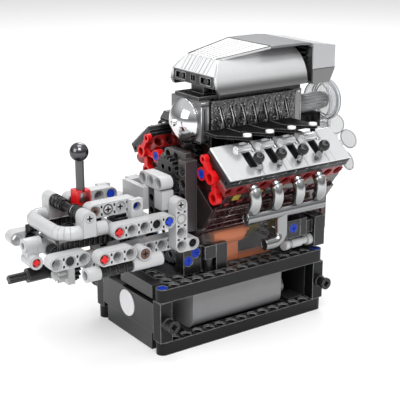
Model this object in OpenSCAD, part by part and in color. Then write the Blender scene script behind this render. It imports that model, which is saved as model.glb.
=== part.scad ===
// Model V8 engine kit on a display stand: beams, pins and chrome panels, with a turning crankshaft,
// sliding pistons, a geared front and rear drive, twin supercharger rotors, a gearbox and a shift lever.
// Frame: origin under the middle of the model, +X towards the fan, -Y towards the viewer, +Z up.
// Sizes in mm. The near cylinder bank leans towards -Y, the far bank towards +Y.

/* [Beams and pins] */
// Width of every beam, a little under the 8 mm grid
beam_w = 7.8; // [7.6:0.05:7.85]
// Round pin hole
hole_d = 4.9; // [4.86:0.01:5]
// Wider ring round each pin hole
rim_d = 6.2; // [5.6:0.1:6.4]
// Depth of that wider ring
rim_depth = 0.8; // [0.4:0.1:1.2]
// Round shafts and pins
shaft_r = 2.4; // [2.36:0.01:2.43]

/* [Engine] */
// Radius of the crank throws, half the stroke
crank_throw = 3; // [1:0.25:3]
// Radius of the pistons
piston_r = 6.5; // [6.49:0.01:6.55]
// Thickness of the chrome valve covers
cover_t = 3.2; // [2:0.1:3.2]
// Diameter of the black balls on the covers
post_ball_d = 6.6; // [4:0.2:6.8]
// Outer radius of the exhaust tubes
exhaust_r = 3.5; // [2.6:0.1:3.5]
// Radius of the drive motor can
motor_r = 6; // [4:0.25:6]

/* [Front and rear] */
// Radius of the chrome dome at the front of the blower
dome_r = 13.2; // [10:0.1:13.2]
// Radius of the fan
fan_r = 21; // [14:1:22]
// Number of fan blades
blade_count = 6; // [3:1:8]
// Radius of the clear disc behind the blower
disc_r = 13; // [9:0.5:14]

/* [Gearbox and stand] */
// Diameter of the ball on the shift lever
lever_ball_d = 10.5; // [8:0.5:12]
// Diameter of the plain disc on the end of the stand
plain_disc_d = 16; // [8:1:16]
// Radius of the bent guard tube
tube_r = 3.9; // [3:0.1:3.9]

/* [Hidden] */
$fn = 64;
grid = 8;
gap = 0.1;
hole_r = hole_d / 2;
edge = beam_w / 2;
slack = (grid - beam_w) / 2;
crank_z = 52;
bank_angle = atan2(3, 4);
cylinder_x = [12, 28, 44, 60];
throw_angle = [90, 270, 270, 90];
bore_r = 6.58;
crankpin_r = 1.5;
fork_in = 2 * 3 + crankpin_r + 0.3;
fork_half = 3 + crankpin_r + 0.3;
gear_mod = 1;
pressure = 25;
addendum = 0.8;
dedendum = 1.15;
gear_play = 0.3;
layshaft_z = crank_z + 16;
lever_x = -9 * grid;
lever_z = 86;
rotor_z = [118.5, 129.5];

// placing helpers: a profile drawn flat is stood up across X or across Y
module along_x(x, y, z) translate([x, y, z]) rotate([90, 0, 90]) children();
module along_y(x, y, z) translate([x, y, z]) rotate([-90, 0, 0]) children();
module rod_x(x0, x1, y, z, r) along_x(x0, y, z) cylinder(r = r, h = x1 - x0);
module rod_y(x, y0, y1, z, r) along_y(x, y0, z) cylinder(r = r, h = y1 - y0);
module rod_z(x, y, z0, z1, r) translate([x, y, z0]) cylinder(r = r, h = z1 - z0);
module box(x0, x1, y0, y1, z0, z1) translate([x0, y0, z0]) cube([x1 - x0, y1 - y0, z1 - z0]);

// a near piece and its mirror image on the far side
module both() {
  children();
  mirror([0, 1, 0]) children();
}

// frame of a bank: X along the engine, Y inwards across the bank, Z out along the cylinders
module near_bank() translate([0, 0, crank_z]) rotate([bank_angle, 0, 0]) children();
module far_bank() mirror([0, 1, 0]) near_bank() children();
module both_banks() {
  near_bank() children();
  far_bank() children();
}

// beam profile with a row of holes on the 8 mm grid, rounded at both ends
module strip(n, d) {
  difference() {
    union() {
      circle(r = edge);
      if (n > 1) translate([0, -edge]) square([grid * (n - 1), beam_w]);
      if (n > 1) translate([grid * (n - 1), 0]) circle(r = edge);
    }
    for (i = [0 : n - 1]) translate([grid * i, 0]) circle(d = d);
  }
}
module beam(n) {
  linear_extrude(beam_w) strip(n, rim_d);
  translate([0, 0, rim_depth]) linear_extrude(beam_w - 2 * rim_depth) strip(n, hole_d);
}
// beams with holes along Z, along Y and along X; the first hole is at the given point
module beam_up(x, y, z0, n, turn = 0) translate([x, y, z0]) rotate([0, 0, turn]) beam(n);
module beam_side(x, y0, z, n, turn = 0)
  translate([x, y0 + beam_w, z]) rotate([90, 0, 0]) rotate([0, 0, turn]) beam(n);
module beam_end(x0, y, z, n, turn = 0) along_x(x0, y, z) rotate([0, 0, turn]) beam(n);

module cross(a, b) {
  square([a, b], center = true);
  square([b, a], center = true);
}
// pin seen end on: shaft, flat head in the wider ring, and a cross cut into it
module pin(depth) {
  difference() {
    union() {
      cylinder(r = shaft_r, h = depth);
      cylinder(r = 2.75, h = min(rim_depth, 0.8) - 0.1);
    }
    translate([0, 0, -1]) linear_extrude(1.7) cross(3.6, 1);
  }
}
module pin_y(x, y_face, z, depth) along_y(x, y_face + 0.05, z) pin(depth);
module axle_y(x, y_face, z, depth) along_y(x, y_face + 0.05, z) linear_extrude(depth) cross(4.5, 1.8);
module pin_x(x_face, y, z, depth) along_x(x_face + 0.05, y, z) pin(depth);

// rod of one radius between two points
module stick(p, q, r) {
  d = q - p;
  translate(p) rotate([0, acos(d[2] / norm(d)), atan2(d[1], d[0])]) cylinder(r = r, h = norm(d));
}

// spur gears with involute flanks
function flank(r, rb) = sqrt(max(0, r * r / (rb * rb) - 1)) * 180 / PI - acos(min(1, rb / r));
function at(r, a) = [r * cos(a), r * sin(a)];
function gear_points(n, phase) =
  let (
    rp = n * gear_mod / 2,
    rb = rp * cos(pressure),
    tip = rp + addendum,
    root = rp - dedendum,
    low = max(rb, root),
    half = (PI * gear_mod / 4 - gear_play / 4) / rp * 180 / PI + flank(rp, rb),
    steps = [low, (low + tip) / 2, tip]
  )
  [for (i = [0 : n - 1]) let (mid = phase + 360 / n * i) each concat(
    low > root + 0.02 ? [at(root, mid - half + flank(low, rb))] : [],
    [for (r = steps) at(r, mid - half + flank(r, rb))],
    [for (k = [2 : -1 : 0]) at(steps[k], mid + half - flank(steps[k], rb))],
    low > root + 0.02 ? [at(root, mid + half - flank(low, rb))] : []
  )];
module gear(x0, x1, y, z, n, phase) along_x(x0, y, z) linear_extrude(x1 - x0) polygon(gear_points(n, phase));
// phase that puts gear B in mesh with gear A; dir is the direction from A to B
function mesh(phase_a, na, nb, dir) = dir + 180 + (0.5 - (phase_a - dir) * na / 360) * 360 / nb;

phase_crank = 0;
phase_low = mesh(phase_crank, 24, 16, 90);
phase_high = mesh(phase_low, 16, 24, 90);
phase_rotor_idler = mesh(0, 16, 13, 90);
phase_rotor_low = mesh(phase_rotor_idler, 13, 11, 90);
phase_rotor_high = mesh(phase_rotor_low, 11, 11, 90);
phase_rear = mesh(phase_crank, 24, 24, 90);
phase_fan = mesh(phase_rear, 24, 8, 90);
phase_lay = mesh(0, 16, 16, 90);
phase_out_drive = mesh(0, 20, 12, -90);
phase_idle = mesh(0, 16, 16, 90);
phase_small = mesh(0, 8, 8, 180);

// stand
module rails() {
  color([0.07, 0.075, 0.08]) both() {
    beam_up(-40, -32, 0, 15);
    beam_up(-40, -32, 32 + slack, 15);
  }
}

module posts() {
  color([0.07, 0.075, 0.08]) both() for (x = [-40, 72]) difference() {
    box(x - edge, x + edge, -32 - edge, -32 + edge, 7.9, 32);
    rod_y(x, -40, -20, 20, hole_r);
    rod_y(x, -37, -32 - edge + rim_depth, 20, rim_d / 2);
    rod_z(x, -32, 7, 16, hole_r);
    rod_z(x, -32, 24, 33, hole_r);
  }
}

module frame_pins() {
  color([0.02, 0.13, 0.6]) both() for (x = [-40, 72]) {
    translate([x, -32, 32 + slack + beam_w - 0.05]) mirror([0, 0, 1]) pin(14);
    translate([x, -32, 0.05]) pin(14);
  }
}

module stand_pins() {
  color([0.02, 0.02, 0.022]) both() for (x = [-40, 72]) difference() {
    union() {
      rod_y(x, -36, -29, 20, shaft_r);
      rod_y(x, -44, -42.4, 20, 3.7);
      rod_y(x, -42.4, -38.2, 20, 3.1);
      rod_y(x, -38.2, -36, 20, 3.7);
    }
    along_y(x, -45, 20) linear_extrude(6) cross(4.2, 1.8);
  }
}

module inner_rails() {
  color([0.035, 0.035, 0.04]) {
    both() beam_up(-32, -24, 32 + slack, 13);
    beam_up(-32, -16, 32 + slack, 5, 90);
    beam_up(64, -16, 32 + slack, 5, 90);
  }
}

module end_panels() {
  color([0.12, 0.12, 0.125]) {
    box(-43.9, -36.1, -27.9, 27.9, 11.5, 29.6);
    box(-43, -36.1, -25, 25, 0.4, 11);
    box(-43, -36.1, -26, 8.5, 32, 39.9);
    box(68.1, 75.9, -27.9, 27.9, 8, 31.9);
    box(68.1, 75.9, -27.9, 27.9, 32.1, 39.9);
  }
}

module end_disc() {
  color([0.93, 0.93, 0.93]) along_x(-44.4, 0, 20.8) cylinder(d = plain_disc_d, h = 0.5);
}

module deck_plates() {
  color([0.1, 0.1, 0.105]) {
    difference() {
      box(-27.9, 0.9, -19.9, 19.9, 36.7, 39.9);
      box(-17, -7, -7, 7, 36, 41);
    }
    box(1.1, 30.4, -19.9, 19.9, 36.7, 39.9);
    box(30.6, 59.9, -19.9, 19.9, 36.7, 39.9);
  }
}

module floor_plates() {
  color([0.06, 0.06, 0.065]) {
    box(-18, -10, -28, 28, 1.6, 4.8);
    box(36, 44, -28, 28, 1.6, 4.8);
    box(55, 68, -28, 28, 1.6, 4.8);
    box(56.5, 67.5, -27, -15, 4.9, 8);
  }
}

module far_panel_sheet() {
  color([0.05, 0.05, 0.055]) box(-35.8, 67.8, 32.4, 35.8, 8, 31.9);
}

module battery_body() {
  color([0.4, 0.41, 0.42]) difference() {
    along_x(-15.5, 0, 0) linear_extrude(65.5) union() {
      translate([-27, 13]) square([54, 15.2]);
      translate([-19, 5]) square([38, 12]);
      translate([-19, 13]) circle(r = 8);
      translate([19, 13]) circle(r = 8);
    }
    rod_x(46, 51, -19, 15, 1.55);
  }
}

module battery_cover() {
  color([0.36, 0.37, 0.38]) box(-15.5, 50, -27, 27, 28.4, 31);
}

module power_knob() {
  color([0.45, 0.46, 0.47]) difference() {
    union() {
      rod_x(46.3, 51, -19, 15, 1.5);
      rod_x(50.3, 55.4, -19, 15, 4);
      box(55.4, 57, -19.9, -18.1, 11.6, 18.4);
    }
  }
}

// crankcase
module sump_cover() {
  color([0.12, 0.1, 0.1, 0.55]) both() difference() {
    translate([0, -24.2, 0]) rotate([90, 0, 0]) linear_extrude(1.4)
      polygon([[8.3, 40.1], [79.9, 40.1], [79.9, 62.4], [-7.9, 62.4], [-7.9, 56.3], [8.3, 56.3]]);
    rod_y(51.3, -27, -20, 58, hole_r);
    rod_y(72, -27, -20, 52, hole_r);
  }
}

module motor_can() {
  color([0.75, 0.28, 0.1]) {
    rod_x(2, 24, -17.5, 57, motor_r);
    rod_x(24, 27.5, -17.5, 57, 3.4);
    rod_x(27.5, 31, -17.5, 57, 1.2);
  }
}

module motor_stand() {
  color([0.7, 0.25, 0.09]) {
    difference() {
      box(14, 22, -19.5, -15.5, 40.1, 54);
      rod_x(12, 24, -17.5, 57, motor_r + 0.05);
    }
    box(22, 46, -20.5, -14.5, 40.1, 42);
  }
}

mount_pins = [[-17.2, 48.2], [-12.2, 52.4]];
module mount_blocks() {
  color([0.06, 0.06, 0.065]) both() difference() {
    box(-20.5, -8.3, -24.5, -16.3, 40.1, 56.1);
    for (p = mount_pins) rod_y(p[0], -25, -15, p[1], hole_r);
    for (p = mount_pins) rod_y(p[0], -25, -24.5 + rim_depth, p[1], rim_d / 2);
  }
}

module side_blocks() {
  color([0.09, 0.09, 0.095]) both() {
    box(-7.9, -0.1, -27.9, -20.1, 48.1, 56);
    box(0.1, 7.9, -27.9, -24.3, 40.1, 56);
  }
}

module side_block_collars() {
  color([0.22, 0.22, 0.23]) both() difference() {
    rod_z(-4, -25, 40.1, 48, 2.8);
    rod_z(-4, -25, 44, 49, 1.6);
  }
}

// spine outline seen along X: stand, crankcase and both banks
module case_outline() {
  polygon([
    [-20, 40.1], [20, 40.1], [20, 60], [23.6, 64], [39.2, 85.1], [42.4, 89.4], [24, 103.1], [20.6, 98.9], [8, 108],
    [-8, 108], [-20.6, 98.9], [-24, 103.1], [-42.4, 89.4], [-39.2, 85.1], [-23.6, 64], [-20, 60]
  ]);
}

module front_plate() {
  color([0.05, 0.045, 0.05]) along_x(-7.9, 0, 0) linear_extrude(3.8) difference() {
    case_outline();
    for (z = [52, 72, 92]) translate([0, z]) circle(r = hole_r);
    for (m = [0, 1]) mirror([m, 0]) translate([0, crank_z]) rotate(bank_angle) translate([-14, 43]) square([28, 20]);
  }
}

module rear_plate() {
  color([0.05, 0.045, 0.05]) along_x(76.1, 0, 0) linear_extrude(3.8) difference() {
    case_outline();
    for (z = [52, 76, 92]) translate([0, z]) circle(r = hole_r);
  }
}

module bearing_plate() {
  color([0.05, 0.05, 0.055]) {
    along_x(88.1, 0, 0) linear_extrude(3.8) difference() {
      translate([-19, 46]) square([38, 52]);
      for (z = [52, 76, 92]) translate([0, z]) circle(r = hole_r);
    }
    for (y = [-16, 16]) for (z = [56, 88]) rod_x(80, 88.1, y, z, 2.6);
  }
}

module bank_blocks() {
  color([0.1, 0.07, 0.07, 0.6]) both_banks() difference() {
    box(-3.9, 75.9, -11.5, 11.5, 22, 50);
    for (x = cylinder_x) translate([x, 0, 21]) cylinder(r = bore_r, h = 30);
  }
}

module side_panels() {
  color([0.09, 0.08, 0.085, 0.7]) both_banks() {
    box(-7.9, 35.9, -13.4, -11.6, 24, 46);
    box(36.1, 79.9, -13.4, -11.6, 24, 46);
  }
}

module cylinder_heads() {
  color([0.08, 0.05, 0.05, 0.7]) both_banks() box(-3.9, 75.9, -11.5, 11.5, 50.1, 55.4);
}

module head_pair() {
  beam_side(-4, -8 - edge, 59.4, 11);
  beam_side(-4, 8 - edge, 59.4, 11);
}
module head_beams() {
  color([0.72, 0.03, 0.03]) both_banks() head_pair();
}

// bar profile between two hole centres
module link(a, b, w) {
  d = b - a;
  translate(a) rotate([0, 0, atan2(d[1], d[0])]) translate([0, -w / 2]) square([norm(d), w]);
}
module head_connectors() {
  rings = [[9, 51.5], [0, 59.5], [-7, 49]];
  color([0.8, 0.03, 0.03]) both_banks() difference() {
    union() {
      along_x(-7.9, 0, 0) linear_extrude(3.8) difference() {
        union() {
          for (p = rings) translate(p) circle(r = edge);
          link(rings[0], rings[1], 4.6);
          link(rings[1], rings[2], 3.6);
        }
        for (v = [-13, 4]) translate([v, 55.4]) square([9, 8.2]);
      }
      along_x(-10.9, 0, 0) linear_extrude(2.9) {
        translate(rings[1]) circle(r = edge);
        link(rings[1], [10.5, 63.2], 3);
        translate([10.5, 63.2]) circle(r = 2.6);
      }
      rod_x(-10.9, -4.1, rings[1][0], rings[1][1], edge);
    }
    for (p = rings) rod_x(-12, -3, p[0], p[1], hole_r);
    rod_x(-12, -7.9 + rim_depth, rings[0][0], rings[0][1], rim_d / 2);
    rod_x(-12, -7, 10.5, 63.2, 1.4);
  }
}

// covers
module cover_base_shape() {
  difference() {
    box(-7.9, 79.9, -12, 12, 63.5, 67.3);
    along_x(-9, -9.4, 65.4) linear_extrude(4) cross(3, 1.2);
    for (y = [-12.1, 11.8]) box(-9, 81, y, y + 0.3, 65.2, 65.6);
  }
}
module cover_bases() {
  color([0.03, 0.03, 0.033]) both_banks() cover_base_shape();
}
module valve_cover_shape() {
  difference() {
    box(-8, 80, -12, 12, 67.4, 67.4 + cover_t);
    for (x = cylinder_x) box(x - 3, x + 3, -6, 5, 67, 72);
  }
}
module covers() {
  color([0.86, 0.87, 0.88]) both_banks() valve_cover_shape();
}

module bars() {
  color([0.8, 0.81, 0.82]) both_banks() for (x = cylinder_x) difference() {
    rod_x(x - 5.5, x + 4.5, 7.4, 67.5 + cover_t, 2.3);
    box(x - 7, x + 6, 0, 12, 60, 67.5 + cover_t);
  }
}

module ignition_posts() {
  lean = [0.5, -2.5, -4.5, -7.5];
  top = 67.4 + cover_t;
  color([0.03, 0.03, 0.033]) both_banks() for (i = [0 : 3]) {
    ball = [cylinder_x[i] + 1.5, -4, top + 5.3];
    translate(ball) sphere(d = post_ball_d);
    stick(ball, ball + [lean[i], -5.2, -4.1], 1.3);
  }
}

// valley, blower and scoop
module intake_manifold() {
  color([0.06, 0.04, 0.045]) difference() {
    along_x(5.1, 0, 0) linear_extrude(65) polygon([
      [-4.6, 78.5], [4.6, 78.5], [14.9, 92], [14.9, 104], [19.5, 106], [19.5, 111],
      [-19.5, 111], [-19.5, 106], [-14.9, 104], [-14.9, 92]
    ]);
    for (z = [92, 106.5]) rod_x(5, 10.5, 0, z, hole_r);
  }
}

module wing_plates() {
  color([0.05, 0.05, 0.055]) both() for (x = cylinder_x) {
    difference() {
      translate([0, 0, 119.2]) linear_extrude(1.7) difference() {
        union() {
          translate([x, -40]) circle(r = 2.7);
          polygon([[x + 2.3, -17.2], [x + 2.3, -38.6], [x, -42.7], [x - 2.3, -41.4], [x - 13.2, -28.5], [x - 13.2, -17.2]]);
        }
        translate([x, -40]) circle(r = 1.65);
      }
    }
    box(x - 10, x, -19.4, -17.2, 111.1, 119.2);
  }
}

module wing_pins() {
  color([0.75, 0.76, 0.77]) both() for (x = cylinder_x) {
    rod_z(x, -40, 117.4, 121, 1.6);
    rod_z(x, -40, 121, 122.2, 2.4);
  }
}

module blower_ribs() {
  for (i = [0 : 6]) translate([9.5 + i * 8.2, -16.8, 113.4]) rotate([0, 14, 0]) cube([2.2, 1, 22]);
}
module blower_case() {
  color([0.3, 0.3, 0.31, 0.55]) difference() {
    union() {
      box(5.1, 66, -16, 16, 111.1, 137);
      intersection() {
        both() blower_ribs();
        box(5.5, 65.6, -17, 17, 112, 136);
      }
    }
    for (z = rotor_z) {
      rod_x(8, 63, 0, z, 6.8);
      rod_x(5, 67, 0, z, 1.55);
    }
    box(8, 63, -3.6, 3.6, rotor_z[0], rotor_z[1]);
  }
}

module nose_block() {
  color([0.62, 0.63, 0.64]) difference() {
    box(-1.9, 4.9, -15, 15, 113, 137.5);
    box(-0.7, 5, -7.4, 7.4, 111, 136.3);
  }
}

module nose_dome() {
  cap = 7.5;
  ball_r = (dome_r * dome_r + cap * cap) / (2 * cap);
  color([0.86, 0.87, 0.88]) {
    along_x(-3.2, 0, 124.3) rotate_extrude($fn = 96) intersection() {
      translate([0, ball_r - cap]) circle(r = ball_r);
      translate([0, -cap - 1]) square([dome_r + 1, cap + 1]);
    }
    rod_x(-3.2, -2, 0, 124.3, dome_r);
    difference() {
      rod_x(-12, -10, 0, 124.3, 2.3);
      rod_x(-13, -11, 0, 124.3, 1.1);
    }
  }
}

module lobe_points(phase) {
  polygon([for (a = [0 : 9 : 351]) at(5.15 + 1.1 * cos(3 * (a - phase)), a)]);
}
module rotor(z, phase, turn) {
  along_x(8.6, 0, z) linear_extrude(53.8, twist = turn, slices = 14) lobe_points(phase);
  rod_x(62.4, 65.5, 0, z, 1.5);
  rod_x(4, 8.6, 0, z, 1.5);
}
module rotor_low() {
  color([0.75, 0.76, 0.78]) {
    rotor(rotor_z[0], 90, 120);
    gear(0, 4.2, 0, rotor_z[0], 11, phase_rotor_low);
  }
}
module rotor_high() {
  color([0.75, 0.76, 0.78]) {
    rotor(rotor_z[1], 90, -120);
    gear(0, 4.2, 0, rotor_z[1], 11, phase_rotor_high);
  }
}

module blower_rear() {
  color([0.4, 0.41, 0.42]) difference() {
    box(66.2, 73, -14, 14, 113, 137);
    rod_x(66, 74, 0, 124, hole_r);
    for (y = [-9, 9]) for (z = [117, 131]) rod_x(70, 74, y, z, hole_r);
  }
}

module rear_axle() {
  color([0.75, 0.03, 0.03]) {
    rod_x(66.5, 96, 0, 124, shaft_r);
    rod_x(76, 84.8, 0, 124, 4.6);
  }
}

module ribbed_connector() {
  color([0.55, 0.56, 0.57]) difference() {
    union() {
      rod_x(85, 104.6, 0, 124, 4);
      for (x = [85, 89.2, 93.4, 97.6, 101.8]) rod_x(x, x + 2, 0, 124, 5);
    }
    rod_x(84, 106, 0, 124, hole_r);
  }
}

module clear_disc() {
  color([0.9, 0.92, 0.93, 0.3]) {
    rod_x(98, 105, 0, 124, shaft_r);
    rod_x(104.8, 107, 0, 124, disc_r);
    box(104.8, 107, -4, 4, 105, 124);
  }
}

module scoop_inside() {
  color([0.06, 0.06, 0.065]) {
    box(12.5, 72.8, -13, 13, 137.1, 157.8);
    box(6, 12.4, -6, 6, 139.5, 144.8);
    box(-1.5, 12.4, -12, 12, 137.6, 139.6);
  }
}

module scoop_bar() {
  color([0.07, 0.07, 0.075]) difference() {
    box(3, 12.3, -20, 20, 145, 151.5);
    for (y = [-17.5, 7.5]) box(2, 5.5, y, y + 10, 146.4, 150.2);
    box(2, 4.5, -2.4, 2.4, 146.4, 150.2);
  }
}

module scoop_bar_pins() {
  color([0.35, 0.36, 0.37]) for (y = [-12.5, 12.5]) rod_x(3.4, 5.5, y, 148.3, 1.8);
}

// curved shell between two circles, cut to its side view, with room for the bar and the sloping face
module scoop_sides() {
  color([0.86, 0.87, 0.88]) both() difference() {
    intersection() {
      along_x(3, 0, 0) linear_extrude(67) difference() {
        intersection() {
          translate([-2, 142]) circle(r = 22);
          translate([-26, 142]) square([18.1, 24]);
        }
        translate([-2, 142]) circle(r = 19.4);
      }
      rotate([90, 0, 0]) linear_extrude(30)
        polygon([[5, 142], [3.3, 145], [3.3, 151.5], [8.6, 158.9], [43, 164.2], [69, 164.2], [69, 142]]);
    }
    box(0, 12.4, -20.1, 20, 144.9, 151.6);
    along_x(2, 0, 0) linear_extrude(10.4) polygon([[-19.9, 151.5], [-14.5, 160.2], [0, 160.2], [0, 151.5]]);
  }
}

module scoop_slope() {
  color([0.88, 0.89, 0.9]) intersection() {
    translate([0, 22, 0]) rotate([90, 0, 0]) linear_extrude(44)
      polygon([[3.2, 151.7], [9.2, 160], [12.3, 160], [12.3, 151.7]]);
    along_x(2, 0, 0) linear_extrude(12) polygon([[-19.6, 151.6], [19.6, 151.6], [14.4, 160.1], [-14.4, 160.1]]);
  }
}

module scoop_ramp() {
  color([0.88, 0.89, 0.9]) intersection() {
    translate([0, 22, 0]) rotate([90, 0, 0]) linear_extrude(44)
      polygon([[9.1, 160.1], [9.1, 160.3], [43, 165.7], [43, 164.3], [12.4, 159.6], [12.4, 160.1]]);
    translate([0, 0, 150]) linear_extrude(20) polygon([[9, -14.3], [43.1, -21], [43.1, 21], [9, 14.3]]);
  }
}

module scoop_top_panel() {
  color([0.5, 0.51, 0.52]) {
    translate([0, 22, 0]) rotate([90, 0, 0]) linear_extrude(44)
      polygon([[43.2, 164.6], [43.2, 165.8], [50, 166], [66, 166], [72.8, 165.3], [72.8, 164.1], [66, 164.6]]);
    box(43.2, 72.8, -7, 7, 157.9, 164.7);
  }
}

module scoop_rear_box() {
  color([0.7, 0.71, 0.72]) difference() {
    translate([0, 24, 0]) rotate([90, 0, 0]) linear_extrude(48)
      polygon([[73, 141], [86.3, 141], [90, 148.7], [90, 162.9], [73, 165.2]]);
    box(74.4, 88.4, -22.4, 22.4, 140, 161.2);
  }
}

// exhaust and accessories
module runners() {
  color([0.82, 0.83, 0.84]) for (x = cylinder_x) difference() {
    union() {
      along_x(x, -39, 85.6) rotate([0, 0, 132]) rotate_extrude(angle = 92) translate([9.5, 0]) circle(r = exhaust_r);
      near_bank() rod_y(x, -14.4, -10, 59.4, shaft_r);
      near_bank() rod_y(x, -15.4, -12.1, 59.4, exhaust_r);
    }
    rod_x(x - 6, x + 6, -46, 75, exhaust_r + 0.05);
  }
}
module exhaust_runners() {
  both() runners();
}

module collectors() {
  color([0.8, 0.81, 0.82]) both() difference() {
    rod_x(7, 64, -46, 75, exhaust_r);
    rod_x(6, 10, -46, 75, exhaust_r - 1);
  }
}

module downpipes() {
  color([0.82, 0.83, 0.84]) both() difference() {
    union() {
      rod_z(33, -46, 63, 74, exhaust_r);
      translate([27, -46, 63]) rotate([-90, 0, 0]) intersection() {
        rotate_extrude() translate([6, 0]) circle(r = exhaust_r);
        translate([0, 0, -5]) cube([12, 12, 10]);
      }
      rod_x(20.5, 27, -46, 57, exhaust_r);
    }
    rod_x(5, 64, -46, 75, exhaust_r + 0.05);
    rod_x(20, 25, -46, 57, exhaust_r - 1);
  }
}

module accessory_blocks() {
  color([0.1, 0.1, 0.105]) both() {
    difference() {
      box(46, 61.4, -35.9, -25.7, 52, 63);
      rod_y(51.3, -37, -25, 58, hole_r);
      rod_y(51.3, -37, -35.9 + rim_depth, 58, rim_d / 2);
      box(56.4, 56.7, -37, -35.5, 51, 64);
    }
    box(61.5, 67.9, -33.5, -25.7, 52, 60);
    difference() {
      box(68, 76, -35.9, -25.7, 43, 62);
      rod_x(66, 77, -31.5, 46.9, hole_r);
      rod_y(72, -30, -25, 52, hole_r);
    }
  }
}

module accessory_pins() {
  color([0.55, 0.56, 0.57]) both() {
    rod_x(50, 75, -31.5, 46.9, shaft_r);
    rod_x(47, 50, -31.5, 46.9, 3.5);
    rod_x(52, 60, -31.5, 46.9, 3.1);
    rod_x(64.6, 67.9, -31.5, 46.9, 3.5);
  }
}

// front timing drive
module columns() {
  color([0.13, 0.13, 0.135]) {
    difference() {
      union() {
        box(-15.9, -8.1, -19.9, -13.1, 64.1, 105.9);
        box(-11.9, -8.1, -14, 4, 105 - edge, 105 + edge);
        rod_x(-11.9, -8.1, 4, 105, edge);
      }
      for (i = [0 : 4]) rod_x(-17, -7, -16.5, 68 + i * 8, hole_r);
      for (i = [0 : 4]) rod_x(-17, -15.9 + rim_depth, -16.5, 68 + i * 8, rim_d / 2);
      for (y = [-4, 4]) rod_x(-13, -7, y, 105, hole_r);
    }
    difference() {
      box(-15.9, -8.1, 13.1, 19.9, 64.1, 86);
      for (i = [0 : 1]) rod_x(-17, -7, 16.5, 68 + i * 8, hole_r);
    }
  }
}

module gear_24(x0, x1, y, z, phase) {
  difference() {
    gear(x0, x1, y, z, 24, phase);
    for (a = [0 : 60 : 300]) rod_x(x0 - 1, x1 + 1, y + 7 * cos(a), z + 7 * sin(a), 1.7);
  }
}

module front_idler_low() {
  color([0.04, 0.04, 0.045]) {
    gear(-15.9, -12.1, 0, 72, 16, phase_low);
    rod_x(-17, -4.2, 0, 72, shaft_r);
    rod_x(-15.6, -8.3, 0, 72, 4);
  }
}

module front_idler_high() {
  color([0.04, 0.04, 0.045]) {
    gear_24(-15.9, -12.1, 0, 92, phase_high);
    rod_x(-17, 10, 0, 92, shaft_r);
    rod_x(-15.6, -8.3, 0, 92, 4);
    gear(0, 4.2, 0, 92, 16, 0);
  }
}

// carries the drive up from the timing gears to the lower rotor
module rotor_idler() {
  color([0.3, 0.31, 0.32]) {
    gear(0, 4.2, 0, 106.5, 13, phase_rotor_idler);
    rod_x(0, 10, 0, 106.5, shaft_r);
  }
}

module rear_idler() {
  color([0.04, 0.04, 0.045]) {
    gear_24(82, 86, 0, 76, phase_rear);
    rod_x(76.3, 91.5, 0, 76, shaft_r);
    rod_x(80.4, 87.7, 0, 76, 4);
  }
}

module fan() {
  color([0.85, 0.88, 0.9, 0.35]) {
    gear(82, 86, 0, 92, 8, phase_fan);
    rod_x(76.3, 113, 0, 92, shaft_r);
    rod_x(112.5, 117.5, 0, 92, 4);
    for (i = [0 : blade_count - 1]) translate([115, 0, 92]) rotate([i * 360 / blade_count, 0, 0])
      rotate([0, 0, 14]) rotate([90, 0, 90]) translate([0, 0, -0.6]) linear_extrude(1.2) union() {
        translate([0, fan_r - 6.5]) circle(r = 6.5);
        translate([-2, 3]) square([4, fan_r - 9]);
      }
  }
}

// crank, rods and pistons
module crankshaft() {
  color([0.6, 0.61, 0.63]) {
    rod_x(-57.8, 4.4, 0, crank_z, shaft_r);
    for (i = [0 : 3]) {
      x = cylinder_x[i];
      y = crank_throw * cos(throw_angle[i]);
      z = crank_z + crank_throw * sin(throw_angle[i]);
      rod_x(x - 4.8, x + 4.8, y, z, crankpin_r);
      for (w = [x - 6.4, x + 4.8]) rod_x(w, w + 1.6, 0, crank_z, 5.6);
      if (i < 3) rod_x(x + 6.4, cylinder_x[i + 1] - 6.4, 0, crank_z, shaft_r);
    }
    rod_x(4.4, 5.6, 0, crank_z, shaft_r);
    rod_x(66.4, 91.5, 0, crank_z, shaft_r);
    gear_24(-15.9, -12.1, 0, crank_z, phase_crank);
    gear_24(82, 86, 0, crank_z, phase_crank);
    gear(-52, -44.4, 0, crank_z, 16, 0);
  }
}

// piston and rod as one moving piece: crown, stem and an open fork over the crankpin
module piston(i, x0, side) {
  a = throw_angle[i];
  d = crank_throw * (sin(a) * cos(bank_angle) - side * cos(a) * sin(bank_angle));
  translate([0, 0, d]) {
    translate([cylinder_x[i], 0, 36]) cylinder(r = piston_r, h = 8);
    box(x0, x0 + 3.8, -1.6, 1.6, fork_in + 1, 36.5);
    translate([x0 + 3.8, 0, 0]) rotate([0, -90, 0]) linear_extrude(3.8) difference() {
      union() {
        translate([-3, -fork_half - 1.4]) square([fork_in + 1, 2 * fork_half + 2.8]);
        translate([-3, -fork_half + 1.6]) square([fork_in + 4.4, 2 * fork_half - 3.2]);
        for (y = [-1, 1]) translate([fork_in - 1.6, y * (fork_half - 1.6)]) circle(r = 3);
      }
      translate([-4, -fork_half]) square([fork_in + 4, 2 * fork_half]);
    }
  }
}
module near_pair(a, b) color([0.5, 0.42, 0.08]) near_bank() {
  piston(a, cylinder_x[a] - 4.2, 1);
  piston(b, cylinder_x[b] - 4.2, 1);
}
module far_pair(a, b) color([0.5, 0.42, 0.08]) far_bank() {
  piston(a, cylinder_x[a] + 0.4, -1);
  piston(b, cylinder_x[b] + 0.4, -1);
}
module pistons_near_outer() near_pair(0, 3);
module pistons_near_inner() near_pair(1, 2);
module pistons_far_outer() far_pair(0, 3);
module pistons_far_inner() far_pair(1, 2);

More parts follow.
